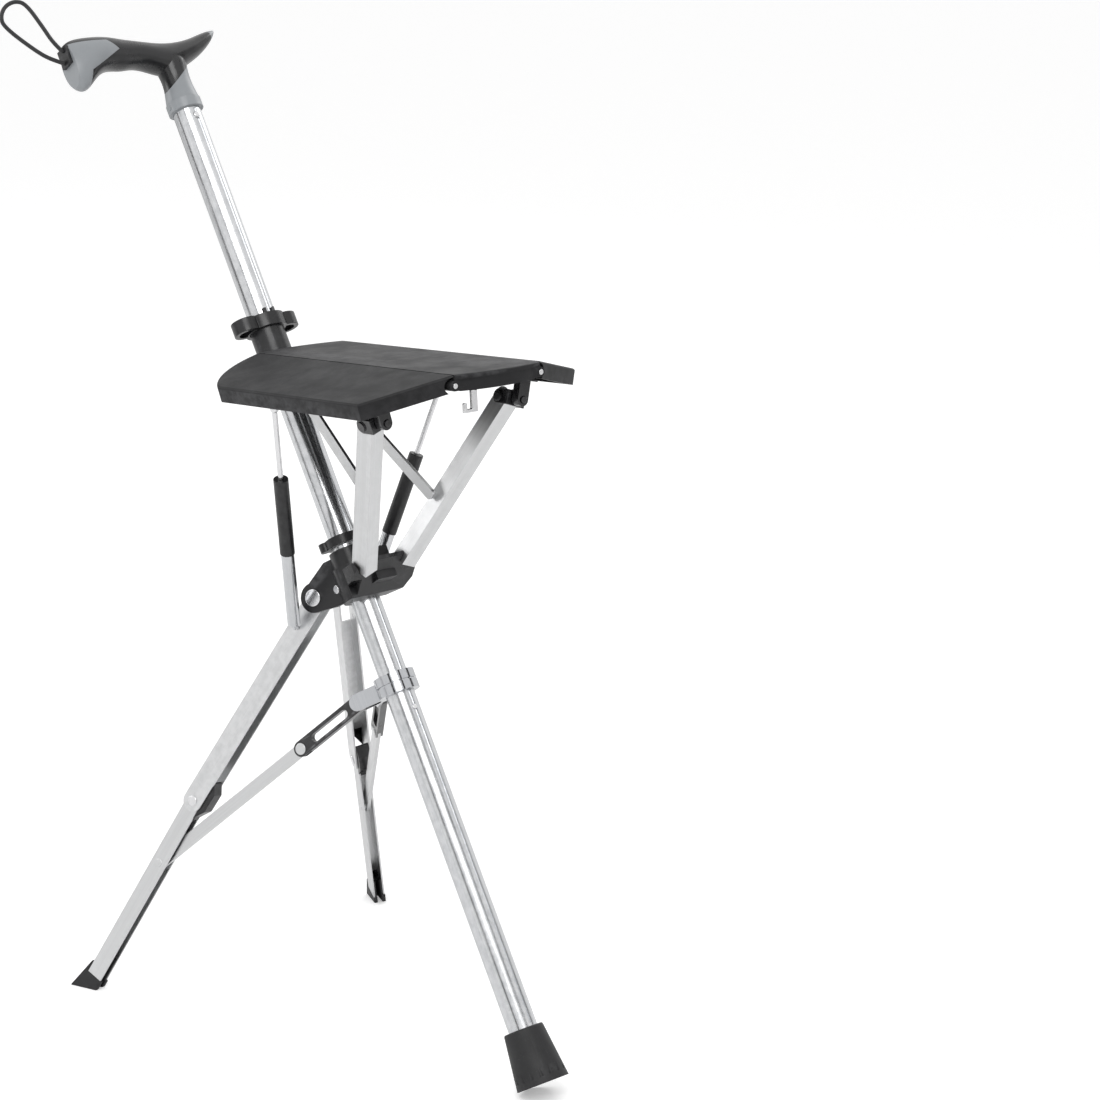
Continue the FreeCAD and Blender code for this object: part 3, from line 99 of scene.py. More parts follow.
# Edge rounding of the smaller pieces, in metres
ROD_EDGE = 0.0002
PIN_EDGE = 0.0003
CAP_EDGE = 0.0004
BAND_EDGE = 0.0005
CAST_EDGE = 0.0006
TIP_EDGE = 0.0007
CLIP_EDGE = 0.0008
WEDGE_EDGE = 0.0009
KNOB_EDGE = 0.0016

# Angles in degrees: faces flatter than this are joined, edges sharper are rounded or stay sharp
FLAT_ANGLE = 0.6
ROUNDED_ANGLE = 32.0
SHARP_ANGLE = 50.0


def on_tube(forward, left, along):
    """A point given in millimetres along the stick's own axes."""
    shift = FRONT * forward + LEFT * left + ALONG * along
    return FOOT_CENTRE + shift * MILLIMETRE


def mirrored(vector):
    return Vector((vector.x, -vector.y, vector.z))


def sided(vector, node):
    """The vector for a left node, or its mirror image for a right one."""
    return mirrored(vector) if node.startswith("right_") else vector.copy()


def turn_to(line):
    """The turn that a pattern needs so that its long direction lies along a line."""
    return line.normalized().to_track_quat("Z", "Y").inverted().to_euler()


# Node groups that more than one material uses


def new_group(name, inputs, outputs):
    tree = bpy.data.node_groups.new(name, "ShaderNodeTree")
    for label, kind, value in inputs:
        socket = tree.interface.new_socket(label, in_out="INPUT", socket_type=kind)
        if value is not None:
            socket.default_value = value
    for label, kind in outputs:
        tree.interface.new_socket(label, in_out="OUTPUT", socket_type=kind)
    start = tree.nodes.new("NodeGroupInput")
    end = tree.nodes.new("NodeGroupOutput")
    return tree, start, end


def math_node(tree, operation, first, second=None):
    node = tree.nodes.new("ShaderNodeMath")
    node.operation = operation
    for index, value in enumerate((first, second)):
        if value is None:
            continue
        if isinstance(value, (int, float)):
            node.inputs[index].default_value = value
        else:
            tree.links.new(value, node.inputs[index])
    return node.outputs[0]


def noise(tree, vector, scale, detail=4.0, roughness=0.55):
    node = tree.nodes.new("ShaderNodeTexNoise")
    node.inputs["Detail"].default_value = detail
    node.inputs["Roughness"].default_value = roughness
    tree.links.new(vector, node.inputs["Vector"])
    if isinstance(scale, (int, float)):
        node.inputs["Scale"].default_value = scale
    else:
        tree.links.new(scale, node.inputs["Scale"])
    return node.outputs["Fac"]


def spread(tree, value, low, high, out_low=0.0, out_high=1.0):
    node = tree.nodes.new("ShaderNodeMapRange")
    node.inputs["From Min"].default_value = low
    node.inputs["From Max"].default_value = high
    node.inputs["To Min"].default_value = out_low
    node.inputs["To Max"].default_value = out_high
    tree.links.new(value, node.inputs["Value"])
    return node.outputs["Result"]


def build_grain_group():
    """Moulded grain: fine cells with a slow change of tone over them."""
    tree, start, end = new_group(
        "moulded_grain",
        [("Vector", "NodeSocketVector", None), ("Scale", "NodeSocketFloat", 900.0)],
        [("Height", "NodeSocketFloat"), ("Tone", "NodeSocketFloat")])
    cells = tree.nodes.new("ShaderNodeTexVoronoi")
    cells.feature = "SMOOTH_F1"
    cells.inputs["Smoothness"].default_value = 0.6
    tree.links.new(start.outputs["Vector"], cells.inputs["Vector"])
    tree.links.new(start.outputs["Scale"], cells.inputs["Scale"])
    fine_scale = math_node(tree, "MULTIPLY", start.outputs["Scale"], 2.3)
    fine = noise(tree, start.outputs["Vector"], fine_scale, 3.0)
    height = math_node(tree, "MULTIPLY", cells.outputs["Distance"], fine)
    slow_scale = math_node(tree, "MULTIPLY", start.outputs["Scale"], 0.03)
    slow = noise(tree, start.outputs["Vector"], slow_scale, 5.0, 0.6)
    tree.links.new(height, end.inputs["Height"])
    tree.links.new(spread(tree, slow, 0.3, 0.7), end.inputs["Tone"])
    return tree


def build_streak_group():
    """Drawn or rolled metal: long fine streaks along the pattern's own Z."""
    tree, start, end = new_group(
        "drawn_streaks",
        [("Vector", "NodeSocketVector", None), ("Scale", "NodeSocketFloat", 1500.0)],
        [("Height", "NodeSocketFloat"), ("Tone", "NodeSocketFloat")])
    stretch = tree.nodes.new("ShaderNodeMapping")
    stretch.inputs["Scale"].default_value = (1.0, 1.0, 0.012)
    tree.links.new(start.outputs["Vector"], stretch.inputs["Vector"])
    fine = noise(tree, stretch.outputs["Vector"], start.outputs["Scale"], 3.0, 0.5)
    slow_scale = math_node(tree, "MULTIPLY", start.outputs["Scale"], 0.16)
    slow = noise(tree, stretch.outputs["Vector"], slow_scale, 3.0, 0.5)
    both = math_node(tree, "MULTIPLY", fine, slow)
    tree.links.new(fine, end.inputs["Height"])
    tree.links.new(spread(tree, both, 0.12, 0.42), end.inputs["Tone"])
    return tree


def build_handling_group():
    """Smudges and dust from handling, for roughness."""
    tree, start, end = new_group(
        "handling_marks",
        [("Vector", "NodeSocketVector", None), ("Scale", "NodeSocketFloat", 45.0)],
        [("Smudge", "NodeSocketFloat"), ("Specks", "NodeSocketFloat")])
    broad = noise(tree, start.outputs["Vector"], start.outputs["Scale"], 6.0, 0.62)
    speck_scale = math_node(tree, "MULTIPLY", start.outputs["Scale"], 22.0)
    specks = noise(tree, start.outputs["Vector"], speck_scale, 2.0, 0.5)
    tree.links.new(spread(tree, broad, 0.35, 0.68), end.inputs["Smudge"])
    tree.links.new(spread(tree, specks, 0.66, 0.74), end.inputs["Specks"])
    return tree


def build_edge_group():
    """A mask of the convex edges, where a lighter colour is painted on as an edge highlight."""
    tree, start, end = new_group(
        "painted_edge_highlight",
        [("Vector", "NodeSocketVector", None), ("Amount", "NodeSocketFloat", 0.5)],
        [("Mask", "NodeSocketFloat")])
    shape = tree.nodes.new("ShaderNodeNewGeometry")
    sharp = spread(tree, shape.outputs["Pointiness"], 0.52, 0.62)
    broken = spread(tree, noise(tree, start.outputs["Vector"], 160.0, 5.0, 0.6), 0.38, 0.62)
    mask = math_node(tree, "MULTIPLY", sharp, broken)
    scaled = math_node(tree, "MULTIPLY", mask, start.outputs["Amount"])
    tree.links.new(scaled, end.inputs["Mask"])
    return tree


GROUPS = {}


def group_node(tree, name, vector, **values):
    builders = {"moulded_grain": build_grain_group, "drawn_streaks": build_streak_group,
                "handling_marks": build_handling_group, "painted_edge_highlight": build_edge_group}
    if name not in GROUPS:
        GROUPS[name] = builders[name]()
    node = tree.nodes.new("ShaderNodeGroup")
    node.node_tree = GROUPS[name]
    tree.links.new(vector, node.inputs["Vector"])
    for label, value in values.items():
        node.inputs[label].default_value = value
    return node


# Materials


def start_material(name, line=None):
    """A material with its shader and a vector turned to the piece's own line."""
    made = bpy.data.materials.new(name)
    made.use_nodes = True
    tree = made.node_tree
    shader = tree.nodes["Principled BSDF"]
    place = tree.nodes.new("ShaderNodeTexCoord")
    vector = place.outputs["Object"]
    if line is not None:
        turned = tree.nodes.new("ShaderNodeMapping")
        turned.inputs["Rotation"].default_value = turn_to(line)
        tree.links.new(vector, turned.inputs["Vector"])
        vector = turned.outputs["Vector"]
    return made, tree, shader, vector


def two_tone(tree, mask, dark, light):
    mix = tree.nodes.new("ShaderNodeMix")
    mix.data_type = "RGBA"
    mix.inputs[6].default_value = (*dark, 1.0)
    mix.inputs[7].default_value = (*light, 1.0)
    tree.links.new(mask, mix.inputs[0])
    return mix.outputs[2]


def over(tree, mask, under, colour):
    mix = tree.nodes.new("ShaderNodeMix")
    mix.data_type = "RGBA"
    tree.links.new(mask, mix.inputs[0])
    tree.links.new(under, mix.inputs[6])
    mix.inputs[7].default_value = (*colour, 1.0)
    return mix.outputs[2]


def bumped(tree, shader, height, strength, distance):
    bump = tree.nodes.new("ShaderNodeBump")
    bump.inputs["Strength"].default_value = strength
    bump.inputs["Distance"].default_value = distance
    tree.links.new(height, bump.inputs["Height"])
    tree.links.new(bump.outputs["Normal"], shader.inputs["Normal"])


def metal(name, colour, line, rough=(0.22, 0.34), streak=0.10, scale=1500.0, wear=0.3):
    """Drawn or pressed metal with streaks along its line, and a near-white highlight painted on its
    convex edges.
    """
    made, tree, shader, vector = start_material(name, line)
    streaks = group_node(tree, "drawn_streaks", vector, Scale=scale)
    marks = group_node(tree, "handling_marks", vector, Scale=38.0)
    edges = group_node(tree, "painted_edge_highlight", vector, Amount=wear)
    dark = [c * (1.0 - streak) for c in colour]
    light = [min(1.0, c * (1.0 + streak * 0.6)) for c in colour]
    base = two_tone(tree, streaks.outputs["Tone"], dark, light)
    # Painted edge highlight: a near-white colour on the convex edges
    base = over(tree, edges.outputs["Mask"], base, (0.9, 0.9, 0.91))
    tree.links.new(base, shader.inputs["Base Color"])
    shader.inputs["Metallic"].default_value = 1.0
    blend = math_node(tree, "ADD", streaks.outputs["Tone"], marks.outputs["Smudge"])
    rough_value = spread(tree, blend, 0.0, 2.0, rough[0], rough[1])
    tree.links.new(rough_value, shader.inputs["Roughness"])
    bumped(tree, shader, streaks.outputs["Height"], 0.25, 0.00003)
    return made


def moulding(name, colour, rough=(0.35, 0.5), grain=900.0, depth=0.00006, tone=0.25, wear=0.5,
             worn=(0.09, 0.09, 0.095), coat=0.0, dust=0.12, shine=0.5):
    """Moulded plastic, rubber or paint with a fine grain, and a lighter highlight colour painted on
    its convex edges.
    """
    made, tree, shader, vector = start_material(name)
    cells = group_node(tree, "moulded_grain", vector, Scale=grain)
    marks = group_node(tree, "handling_marks", vector, Scale=42.0)
    edges = group_node(tree, "painted_edge_highlight", vector, Amount=wear)
    dark = [c * (1.0 - tone) for c in colour]
    light = [min(1.0, c * (1.0 + tone)) for c in colour]
    base = two_tone(tree, cells.outputs["Tone"], dark, light)
    # Painted edge highlight: the lighter highlight colour laid over the convex edges
    base = over(tree, edges.outputs["Mask"], base, worn)
    specks = math_node(tree, "MULTIPLY", marks.outputs["Specks"], dust)
    base = over(tree, specks, base, [min(1.0, c * 2.2 + 0.03) for c in colour])
    tree.links.new(base, shader.inputs["Base Color"])
    rough_value = spread(tree, marks.outputs["Smudge"], 0.0, 1.0, rough[0], rough[1])
    tree.links.new(rough_value, shader.inputs["Roughness"])
    shader.inputs["Coat Weight"].default_value = coat
    shader.inputs["Specular IOR Level"].default_value = shine
    bumped(tree, shader, cells.outputs["Height"], 0.5, depth)
    return made


def woven(name, colour):
    """Braided cord: crossing threads that follow the cord's own UV map."""
    made, tree, shader, vector = start_material(name)
    place = tree.nodes.new("ShaderNodeTexCoord")
    threads = []
    for angle in (0.8, -0.8):
        turned = tree.nodes.new("ShaderNodeMapping")
        turned.inputs["Rotation"].default_value = (0.0, 0.0, angle)
        turned.inputs["Scale"].default_value = (260.0, 14.0, 1.0)
        tree.links.new(place.outputs["UV"], turned.inputs["Vector"])
        wave = tree.nodes.new("ShaderNodeTexWave")
        wave.inputs["Scale"].default_value = 0.35
        wave.inputs["Distortion"].default_value = 0.4
        tree.links.new(turned.outputs["Vector"], wave.inputs["Vector"])
        threads.append(wave.outputs["Fac"])
    height = math_node(tree, "MAXIMUM", threads[0], threads[1])
    marks = group_node(tree, "handling_marks", vector, Scale=80.0)
    dark = [c * 0.6 for c in colour]
    light = [min(1.0, c * 1.7) for c in colour]
    base = two_tone(tree, height, dark, light)
    tree.links.new(base, shader.inputs["Base Color"])
    tree.links.new(spread(tree, marks.outputs["Smudge"], 0.0, 1.0, 0.55, 0.75),
                   shader.inputs["Roughness"])
    shader.inputs["Sheen Weight"].default_value = 0.2
    bumped(tree, shader, height, 0.6, 0.0002)
    return made


# Making a piece from a CAD node


def piece_object(name, mesh):
    made = bpy.data.objects.new(name, mesh)
    bpy.context.scene.collection.objects.link(made)
    return made


def finished(made, body, material):
    """Shades, paints and places a new piece on its body."""
    mesh = made.data
    for polygon in mesh.polygons:
        polygon.use_smooth = True
    mesh.set_sharp_from_angle(angle=math.radians(SHARP_ANGLE))
    mesh.materials.clear()
    mesh.materials.append(material)
    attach(made, body)
    return made


def rounded_copy(node, name, width, material, segments=2):
    """A copy of a CAD node with its edges rounded, which stands for the node."""
    source = NODES[node]
    mesh = source.data.copy()
    mesh.name = name
    work = bmesh.new()
    work.from_mesh(mesh)
    bmesh.ops.remove_doubles(work, verts=work.verts, dist=0.000002)
    bmesh.ops.dissolve_limit(work, angle_limit=math.radians(FLAT_ANGLE), verts=work.verts,
                             edges=work.edges, use_dissolve_boundaries=False)
    work.to_mesh(mesh)
    work.free()
    for layer in list(mesh.uv_layers):
        mesh.uv_layers.remove(layer)
    made = piece_object(name, mesh)
    if width > 0.0:
        bevel = made.modifiers.new("edge_round", "BEVEL")
        bevel.width = width
        bevel.segments = segments
        bevel.limit_method = "ANGLE"
        bevel.angle_limit = math.radians(ROUNDED_ANGLE)
        bevel.use_clamp_overlap = True
        bevel.harden_normals = False
        bevel.miter_outer = "MITER_ARC"
        even = made.modifiers.new("even_shading", "WEIGHTED_NORMAL")
        even.keep_sharp = True
    finished(made, source["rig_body"], material)
    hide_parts(node)
    return made


# Settings that a user would change


class StickFinishes(bpy.types.PropertyGroup):
    seat_black: bpy.props.FloatVectorProperty(
        name="Seat black", description="Colour of the grained seat panels",
        subtype="COLOR", size=3, min=0.0, max=1.0, default=(0.0125, 0.0125, 0.0135))
    part_black: bpy.props.FloatVectorProperty(
        name="Fittings black", description="Colour of the hub, sleeve, knob and brackets",
        subtype="COLOR", size=3, min=0.0, max=1.0, default=(0.008, 0.008, 0.009))
    grip_black: bpy.props.FloatVectorProperty(
        name="Grip black", description="Colour of the rubber on the grip",
        subtype="COLOR", size=3, min=0.0, max=1.0, default=(0.012, 0.012, 0.013))
    grip_grey: bpy.props.FloatVectorProperty(
        name="Grip grey", description="Colour of the hard parts of the grip",
        subtype="COLOR", size=3, min=0.0, max=1.0, default=(0.27, 0.285, 0.30))
    tube_silver: bpy.props.FloatVectorProperty(
        name="Tube silver", description="Colour of the anodised tube",
        subtype="COLOR", size=3, min=0.0, max=1.0, default=(0.60, 0.61, 0.625))
    leg_silver: bpy.props.FloatVectorProperty(
        name="Leg silver", description="Colour of the pressed legs, struts and bars",
        subtype="COLOR", size=3, min=0.0, max=1.0, default=(0.66, 0.665, 0.67))
    foot_black: bpy.props.FloatVectorProperty(
        name="Foot black", description="Colour of the rubber feet",
        subtype="COLOR", size=3, min=0.0, max=1.0, default=(0.010, 0.010, 0.011))


class StickSizes(bpy.types.PropertyGroup):
    soft_edge: bpy.props.FloatProperty(
        name="Moulded edge", description="Rounding of the edges of moulded plastic",
        subtype="DISTANCE", unit="LENGTH", min=0.0, max=0.003, default=0.0009)
    metal_edge: bpy.props.FloatProperty(
        name="Metal edge", description="Rounding of the edges of pressed metal",
        subtype="DISTANCE", unit="LENGTH", min=0.0, max=0.002, default=0.0003)
    seat_edge: bpy.props.FloatProperty(
        name="Seat edge", description="Rounding of the seat panels' outer edges",
        subtype="DISTANCE", unit="LENGTH", min=0.0, max=0.003, default=0.0006)


class StickStage(bpy.types.PropertyGroup):
    floor_tone: bpy.props.FloatProperty(
        name="Floor tone", description="How pale the floor is", min=0.0, max=1.0, default=0.92)
    floor_lift: bpy.props.FloatProperty(
        name="Floor lift", description="How far the floor is lifted to white in the view",
        min=0.0, max=1.0, default=0.32)
    sky_strength: bpy.props.FloatProperty(
        name="Sky strength", description="Even light from all round", min=0.0, max=3.0, default=0.7)
    key_power: bpy.props.FloatProperty(
        name="Key light", description="Power of the large soft lamp", unit="POWER",
        min=0.0, max=1000.0, default=30.0)


def finishes():
    return bpy.context.scene.stick_finishes


def sizes():
    return bpy.context.scene.stick_sizes


def stage_settings():
    return bpy.context.scene.stick_stage


MATERIALS = {}


def use_material(name, maker, *args, **values):
    if name not in MATERIALS:
        MATERIALS[name] = maker(name, *args, **values)
    return MATERIALS[name]


def fitting_black():
    return use_material("fitting_black", moulding, finishes().part_black, rough=(0.26, 0.4),
                        grain=1400.0, depth=0.00003, tone=0.2, wear=0.5)


def painted_black():
    return use_material("painted_black", moulding, finishes().part_black, rough=(0.18, 0.3),
                        grain=2600.0, depth=0.00001, tone=0.15, wear=0.7, coat=0.3,
                        worn=(0.2, 0.2, 0.21))


def bright_steel():
    return use_material("bright_steel", metal, (0.78, 0.78, 0.79), None, rough=(0.16, 0.28),
                        streak=0.06, scale=2200.0)


# Operators, one for each piece or group of like pieces


class STICK_OT_tube(bpy.types.Operator):
    """Dress the main tube and the stem inside it"""
    bl_idname = "stick.tube"
    bl_label = "Main tube"

    def execute(self, context):
        silver = use_material("tube_anodised", metal, finishes().tube_silver, ALONG,
                              rough=(0.17, 0.30), streak=0.12, scale=1300.0)
        rounded_copy("main_tube", "tube_skin", sizes().metal_edge, silver)
        rounded_copy("stem_tube", "stem_skin", sizes().metal_edge, silver)
        steel = bright_steel()
        for node in ("ring_stop_rivet", "snap_button", "button_spring"):
            rounded_copy(node, node + "_piece", ROD_EDGE, steel)
        return {"FINISHED"}


class STICK_OT_handle(bpy.types.Operator):
    """Dress the grip, its caps, the neck and its band"""
    bl_idname = "stick.handle"
    bl_label = "Handle"

    def execute(self, context):
        rubber = use_material("grip_rubber", moulding, finishes().grip_black, rough=(0.24, 0.36),
                              grain=1600.0, depth=0.00002, tone=0.15, wear=0.3, coat=0.15)
        grey = use_material("grip_hard_grey", moulding, finishes().grip_grey, rough=(0.3, 0.42),
                            grain=1500.0, depth=0.00002, tone=0.05, wear=0.4,
                            worn=(0.4, 0.41, 0.42), dust=0.05)
        rounded_copy("handle_grip", "grip_rubber_shell", BAND_EDGE, rubber)
        for node in HARD_HANDLE_NODES:
            rounded_copy(node, node + "_shell", CAP_EDGE, grey)
        black = fitting_black()
        rounded_copy("strap_clip", "strap_clip_piece", CLIP_EDGE, black)
        return {"FINISHED"}


class STICK_OT_strap(bpy.types.Operator):
    """Lay the wrist strap as a cord from the tail of the grip"""
    bl_idname = "stick.strap"
    bl_label = "Wrist strap"

    def execute(self, context):
        data = bpy.data.curves.new("wrist_strap_line", "CURVE")
        data.dimensions = "3D"
        line = data.splines.new("NURBS")
        line.points.add(len(STRAP_ROUTE) - 1)
        for point, (forward, left, height) in zip(line.points, STRAP_ROUTE):
            place = on_tube(forward, left, TUBE_TOP + height)
            point.co = (place.x, place.y, place.z, 1.0)
        line.order_u = 3
        line.use_endpoint_u = True
        line.resolution_u = 10
        data.bevel_depth = STRAP_DIAMETER / 2
        data.bevel_resolution = 6
        made = bpy.data.objects.new("wrist_strap_cord", data)
        bpy.context.scene.collection.objects.link(made)
        data.materials.append(use_material("strap_braid", woven, (0.014, 0.014, 0.015)))
        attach(made, "frame")
        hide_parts("wrist_strap")
        return {"FINISHED"}


class STICK_OT_sleeve(bpy.types.Operator):
    """Dress the sleeve, its finger knob and the seat bracket"""
    bl_idname = "stick.sleeve"
    bl_label = "Sleeve and knob"

    def execute(self, context):
        black = fitting_black()
        rounded_copy("sleeve", "sleeve_shell", CAST_EDGE, black)
        rounded_copy("wing_knob", "wing_knob_shell", KNOB_EDGE, black, segments=3)
        painted = painted_black()
        rounded_copy("seat_bracket", "seat_bracket_plates", sizes().metal_edge, painted)
        for node in ("seat_pin", "link_pin"):
            rounded_copy(node, node + "_piece", PIN_EDGE, bright_steel())
        return {"FINISHED"}


class STICK_OT_seat(bpy.types.Operator):
    """Dress the three seat panels, the hinge rods and the hook"""
    bl_idname = "stick.seat"
    bl_label = "Seat"

    def execute(self, context):
        black = use_material("seat_grained_black", moulding, finishes().seat_black,
                             rough=(0.46, 0.6), grain=750.0, depth=0.00012, tone=0.3, wear=0.8,
                             worn=(0.05, 0.05, 0.053), shine=0.26)
        rounded_copy("centre_panel", "centre_seat_panel", sizes().seat_edge, black)
        for side in PAIRED:
            rounded_copy(side + "side_panel", side + "seat_wing", sizes().seat_edge, black)
            rounded_copy(side + "hinge_rod", side + "hinge_rod_piece", ROD_EDGE, bright_steel())
        rounded_copy("front_hook", "front_hook_piece", BAND_EDGE, bright_steel())
        return {"FINISHED"}


class STICK_OT_struts(bpy.types.Operator):
    """Dress the struts, their brackets and the side links"""
    bl_idname = "stick.struts"
    bl_label = "Struts and links"

    def execute(self, context):
        link_line = LINK_TIP - LINK_ROOT
        for side in PAIRED:
            silver = use_material(side + "strut_metal", metal, finishes().leg_silver,
                                  sided(STRUT_LINE, side), rough=(0.3, 0.42), streak=0.06)
            rounded_copy(side + "strut", side + "strut_flange", sizes().metal_edge, silver)
            flat = use_material(side + "link_metal", metal, finishes().leg_silver,
                                sided(link_line, side), rough=(0.3, 0.42), streak=0.06)
            rounded_copy(side + "side_link", side + "side_link_bar", sizes().metal_edge, flat)
            for node in ("strut_bracket", "strut_clevis"):
                rounded_copy(side + node, side + node + "_piece", sizes().metal_edge,
                             painted_black())
        return {"FINISHED"}


class STICK_OT_hub(bpy.types.Operator):
    """Dress the hub, the collar above it and their bolts"""
    bl_idname = "stick.hub"
    bl_label = "Hub"

    def execute(self, context):
        black = fitting_black()
        rounded_copy("hub", "hub_casting", sizes().soft_edge, black)
        rounded_copy("guide_collar", "guide_collar_ring", CAST_EDGE, black)
        rounded_copy("hub_bolt", "hub_bolt_piece", PIN_EDGE, bright_steel())
        for side in PAIRED:
            rounded_copy(side + "leg_pin", side + "leg_pin_piece", CAP_EDGE, bright_steel())
        return {"FINISHED"}


class STICK_OT_legs(bpy.types.Operator):
    """Dress the folding rear legs, their knees and feet"""
    bl_idname = "stick.legs"
    bl_label = "Rear legs"

    def execute(self, context):
        upper_line = KNEE - PIVOT
        rubber = use_material("foot_rubber", moulding, finishes().foot_black, rough=(0.5, 0.68),
                              grain=1100.0, depth=0.00006, tone=0.2, wear=0.3,
                              worn=(0.05, 0.05, 0.052), dust=0.3)
        for side in PAIRED:
            upper = use_material(side + "upper_leg_metal", metal, finishes().leg_silver,
                                 sided(upper_line, side), rough=(0.3, 0.42), streak=0.06)
            lower = use_material(side + "lower_leg_metal", metal, finishes().leg_silver,
                                 sided(LOWER_LEG, side), rough=(0.3, 0.42), streak=0.06)
            rounded_copy(side + "upper_leg", side + "upper_leg_channel", sizes().metal_edge, upper)
            rounded_copy(side + "lower_leg", side + "lower_leg_channel", sizes().metal_edge, lower)
            rounded_copy(side + "knee_pin", side + "knee_pin_piece", CAP_EDGE, bright_steel())
            rounded_copy(side + "knee_block", side + "knee_block_piece", CAST_EDGE, fitting_black())
            rounded_copy(side + "rear_foot", side + "rear_foot_rubber", WEDGE_EDGE, rubber)
        rounded_copy("main_foot", "main_foot_rubber", TIP_EDGE, rubber)
        return {"FINISHED"}


class STICK_OT_ring(bpy.types.Operator):
    """Dress the ring, the slotted plates and the stay bars"""
    bl_idname = "stick.ring"
    bl_label = "Ring and stays"

    def execute(self, context):
        chrome = use_material("ring_chrome", metal, (0.50, 0.51, 0.53), ALONG, rough=(0.08, 0.16),
                              streak=0.04)
        rounded_copy("ring", "ring_bands", BAND_EDGE, chrome)
        stay_line = STAY_TIP - STAY_ROOT
        for side in PAIRED:
            bar = use_material(side + "stay_metal", metal, finishes().leg_silver,
                               sided(stay_line, side), rough=(0.28, 0.4), streak=0.06)
            rounded_copy(side + "stay_plate", side + "stay_plate_piece", sizes().metal_edge,
                         painted_black())
            rounded_copy(side + "stay_bar", side + "stay_bar_piece", sizes().metal_edge, bar)
        return {"FINISHED"}


class STICK_OT_springs(bpy.types.Operator):
    """Dress the spring struts under the seat"""
    bl_idname = "stick.springs"
    bl_label = "Spring struts"

    def execute(self, context):
        rubber = use_material("spring_sleeve_black", moulding, finishes().part_black,
                              rough=(0.3, 0.45), grain=1500.0, depth=0.00002, tone=0.15)
        for side in PAIRED:
            silver = use_material(side + "spring_metal", metal, finishes().tube_silver,
                                  sided(SPRING_LINE, side), rough=(0.16, 0.28), streak=0.06)
            rounded_copy(side + "spring_tube", side + "spring_tube_piece", PIN_EDGE, silver)
            rounded_copy(side + "spring_grip", side + "spring_grip_piece", CAP_EDGE, rubber)
            rounded_copy(side + "spring_rod", side + "spring_rod_piece", ROD_EDGE, bright_steel())
            rounded_copy(side + "spring_lug", side + "spring_lug_piece", PIN_EDGE, painted_black())
        return {"FINISHED"}


class STICK_OT_stage(bpy.types.Operator):
    """Set the camera, the pale floor and the soft lamps"""
    bl_idname = "stick.stage"
    bl_label = "Stage"

    def execute(self, context):
        make_camera()
        make_floor()
        make_dark_cards()
        make_sky()
        make_lamps()
        context.scene.view_settings.view_transform = "Standard"
        return {"FINISHED"}


# Stage

# Dark cards: turn round the object in degrees, width and distance in metres
CARDS = ((22.0, 0.42, 2.6), (88.0, 0.5, 2.6), (-38.0, 0.6, 2.6), (150.0, 0.7, 3.0),
         (-103.0, 0.6, 3.0))
CARD_HEIGHT = 3.4
CARD_MIDDLE = 1.3
FLOOR_RADIUS = 40.0

# The camera: its place, the way it looks, its level line and roll, and its focal length
CAMERA_PLACE = (1.672566, -1.266, 0.9302)
CAMERA_FORWARD = (-0.7252, 0.6376, -0.2598)
CAMERA_LEVEL = (0.6603, 0.7510, 0.0)
CAMERA_ROLL = 0.49
SENSOR_WIDTH = 36.0
PICTURE_WIDTH_PX = 1100.0
FOCAL_LENGTH_PX = 2868.9

# Lamps: name, place, size and share of the key light's power
LAMP_TARGET = (0.0, 0.0, 0.4)
LAMPS = (("key_lamp", (1.6, -1.4, 2.4), (1.6, 1.6), 1.0),
         ("fill_lamp", (-1.8, -1.6, 1.6), (1.2, 2.0), 0.45),
         ("rim_lamp", (-0.6, 2.2, 2.0), (1.6, 1.2), 0.5))


def make_camera():
    forward = Vector(CAMERA_FORWARD).normalized()
    level = Vector(CAMERA_LEVEL).normalized()
    rise = level.cross(forward)
    roll = math.radians(CAMERA_ROLL)
    right = level * math.cos(roll) + rise * math.sin(roll)
    up = right.cross(forward)
    data = bpy.data.cameras.new("view_camera")
    data.sensor_width = SENSOR_WIDTH
    data.lens = SENSOR_WIDTH * FOCAL_LENGTH_PX / PICTURE_WIDTH_PX
    data.clip_end = 100.0
    camera = bpy.data.objects.new("view_camera", data)
    bpy.context.scene.collection.objects.link(camera)
    axes = Matrix((right, up, -forward)).transposed().to_4x4()
    camera.matrix_world = Matrix.Translation(Vector(CAMERA_PLACE)) @ axes
    bpy.context.scene.camera = camera


def make_floor():
    work = bmesh.new()
    bmesh.ops.create_circle(work, cap_ends=True, segments=96, radius=FLOOR_RADIUS)
    mesh = bpy.data.meshes.new("floor")
    work.to_mesh(mesh)
    work.free()
    floor = piece_object("floor", mesh)
    made = bpy.data.materials.new("floor_white")
    made.use_nodes = True
    shader = made.node_tree.nodes["Principled BSDF"]
    tone = stage_settings().floor_tone
    shader.inputs["Base Color"].default_value = (tone, tone, tone, 1.0)
    shader.inputs["Roughness"].default_value = 0.85
    shader.inputs["Specular IOR Level"].default_value = 0.1
    tree = made.node_tree
    path = tree.nodes.new("ShaderNodeLightPath")
    glow = math_node(tree, "MULTIPLY", path.outputs["Is Camera Ray"], stage_settings().floor_lift)
    shader.inputs["Emission Color"].default_value = (1.0, 1.0, 1.0, 1.0)
    tree.links.new(glow, shader.inputs["Emission Strength"])
    mesh.materials.append(made)


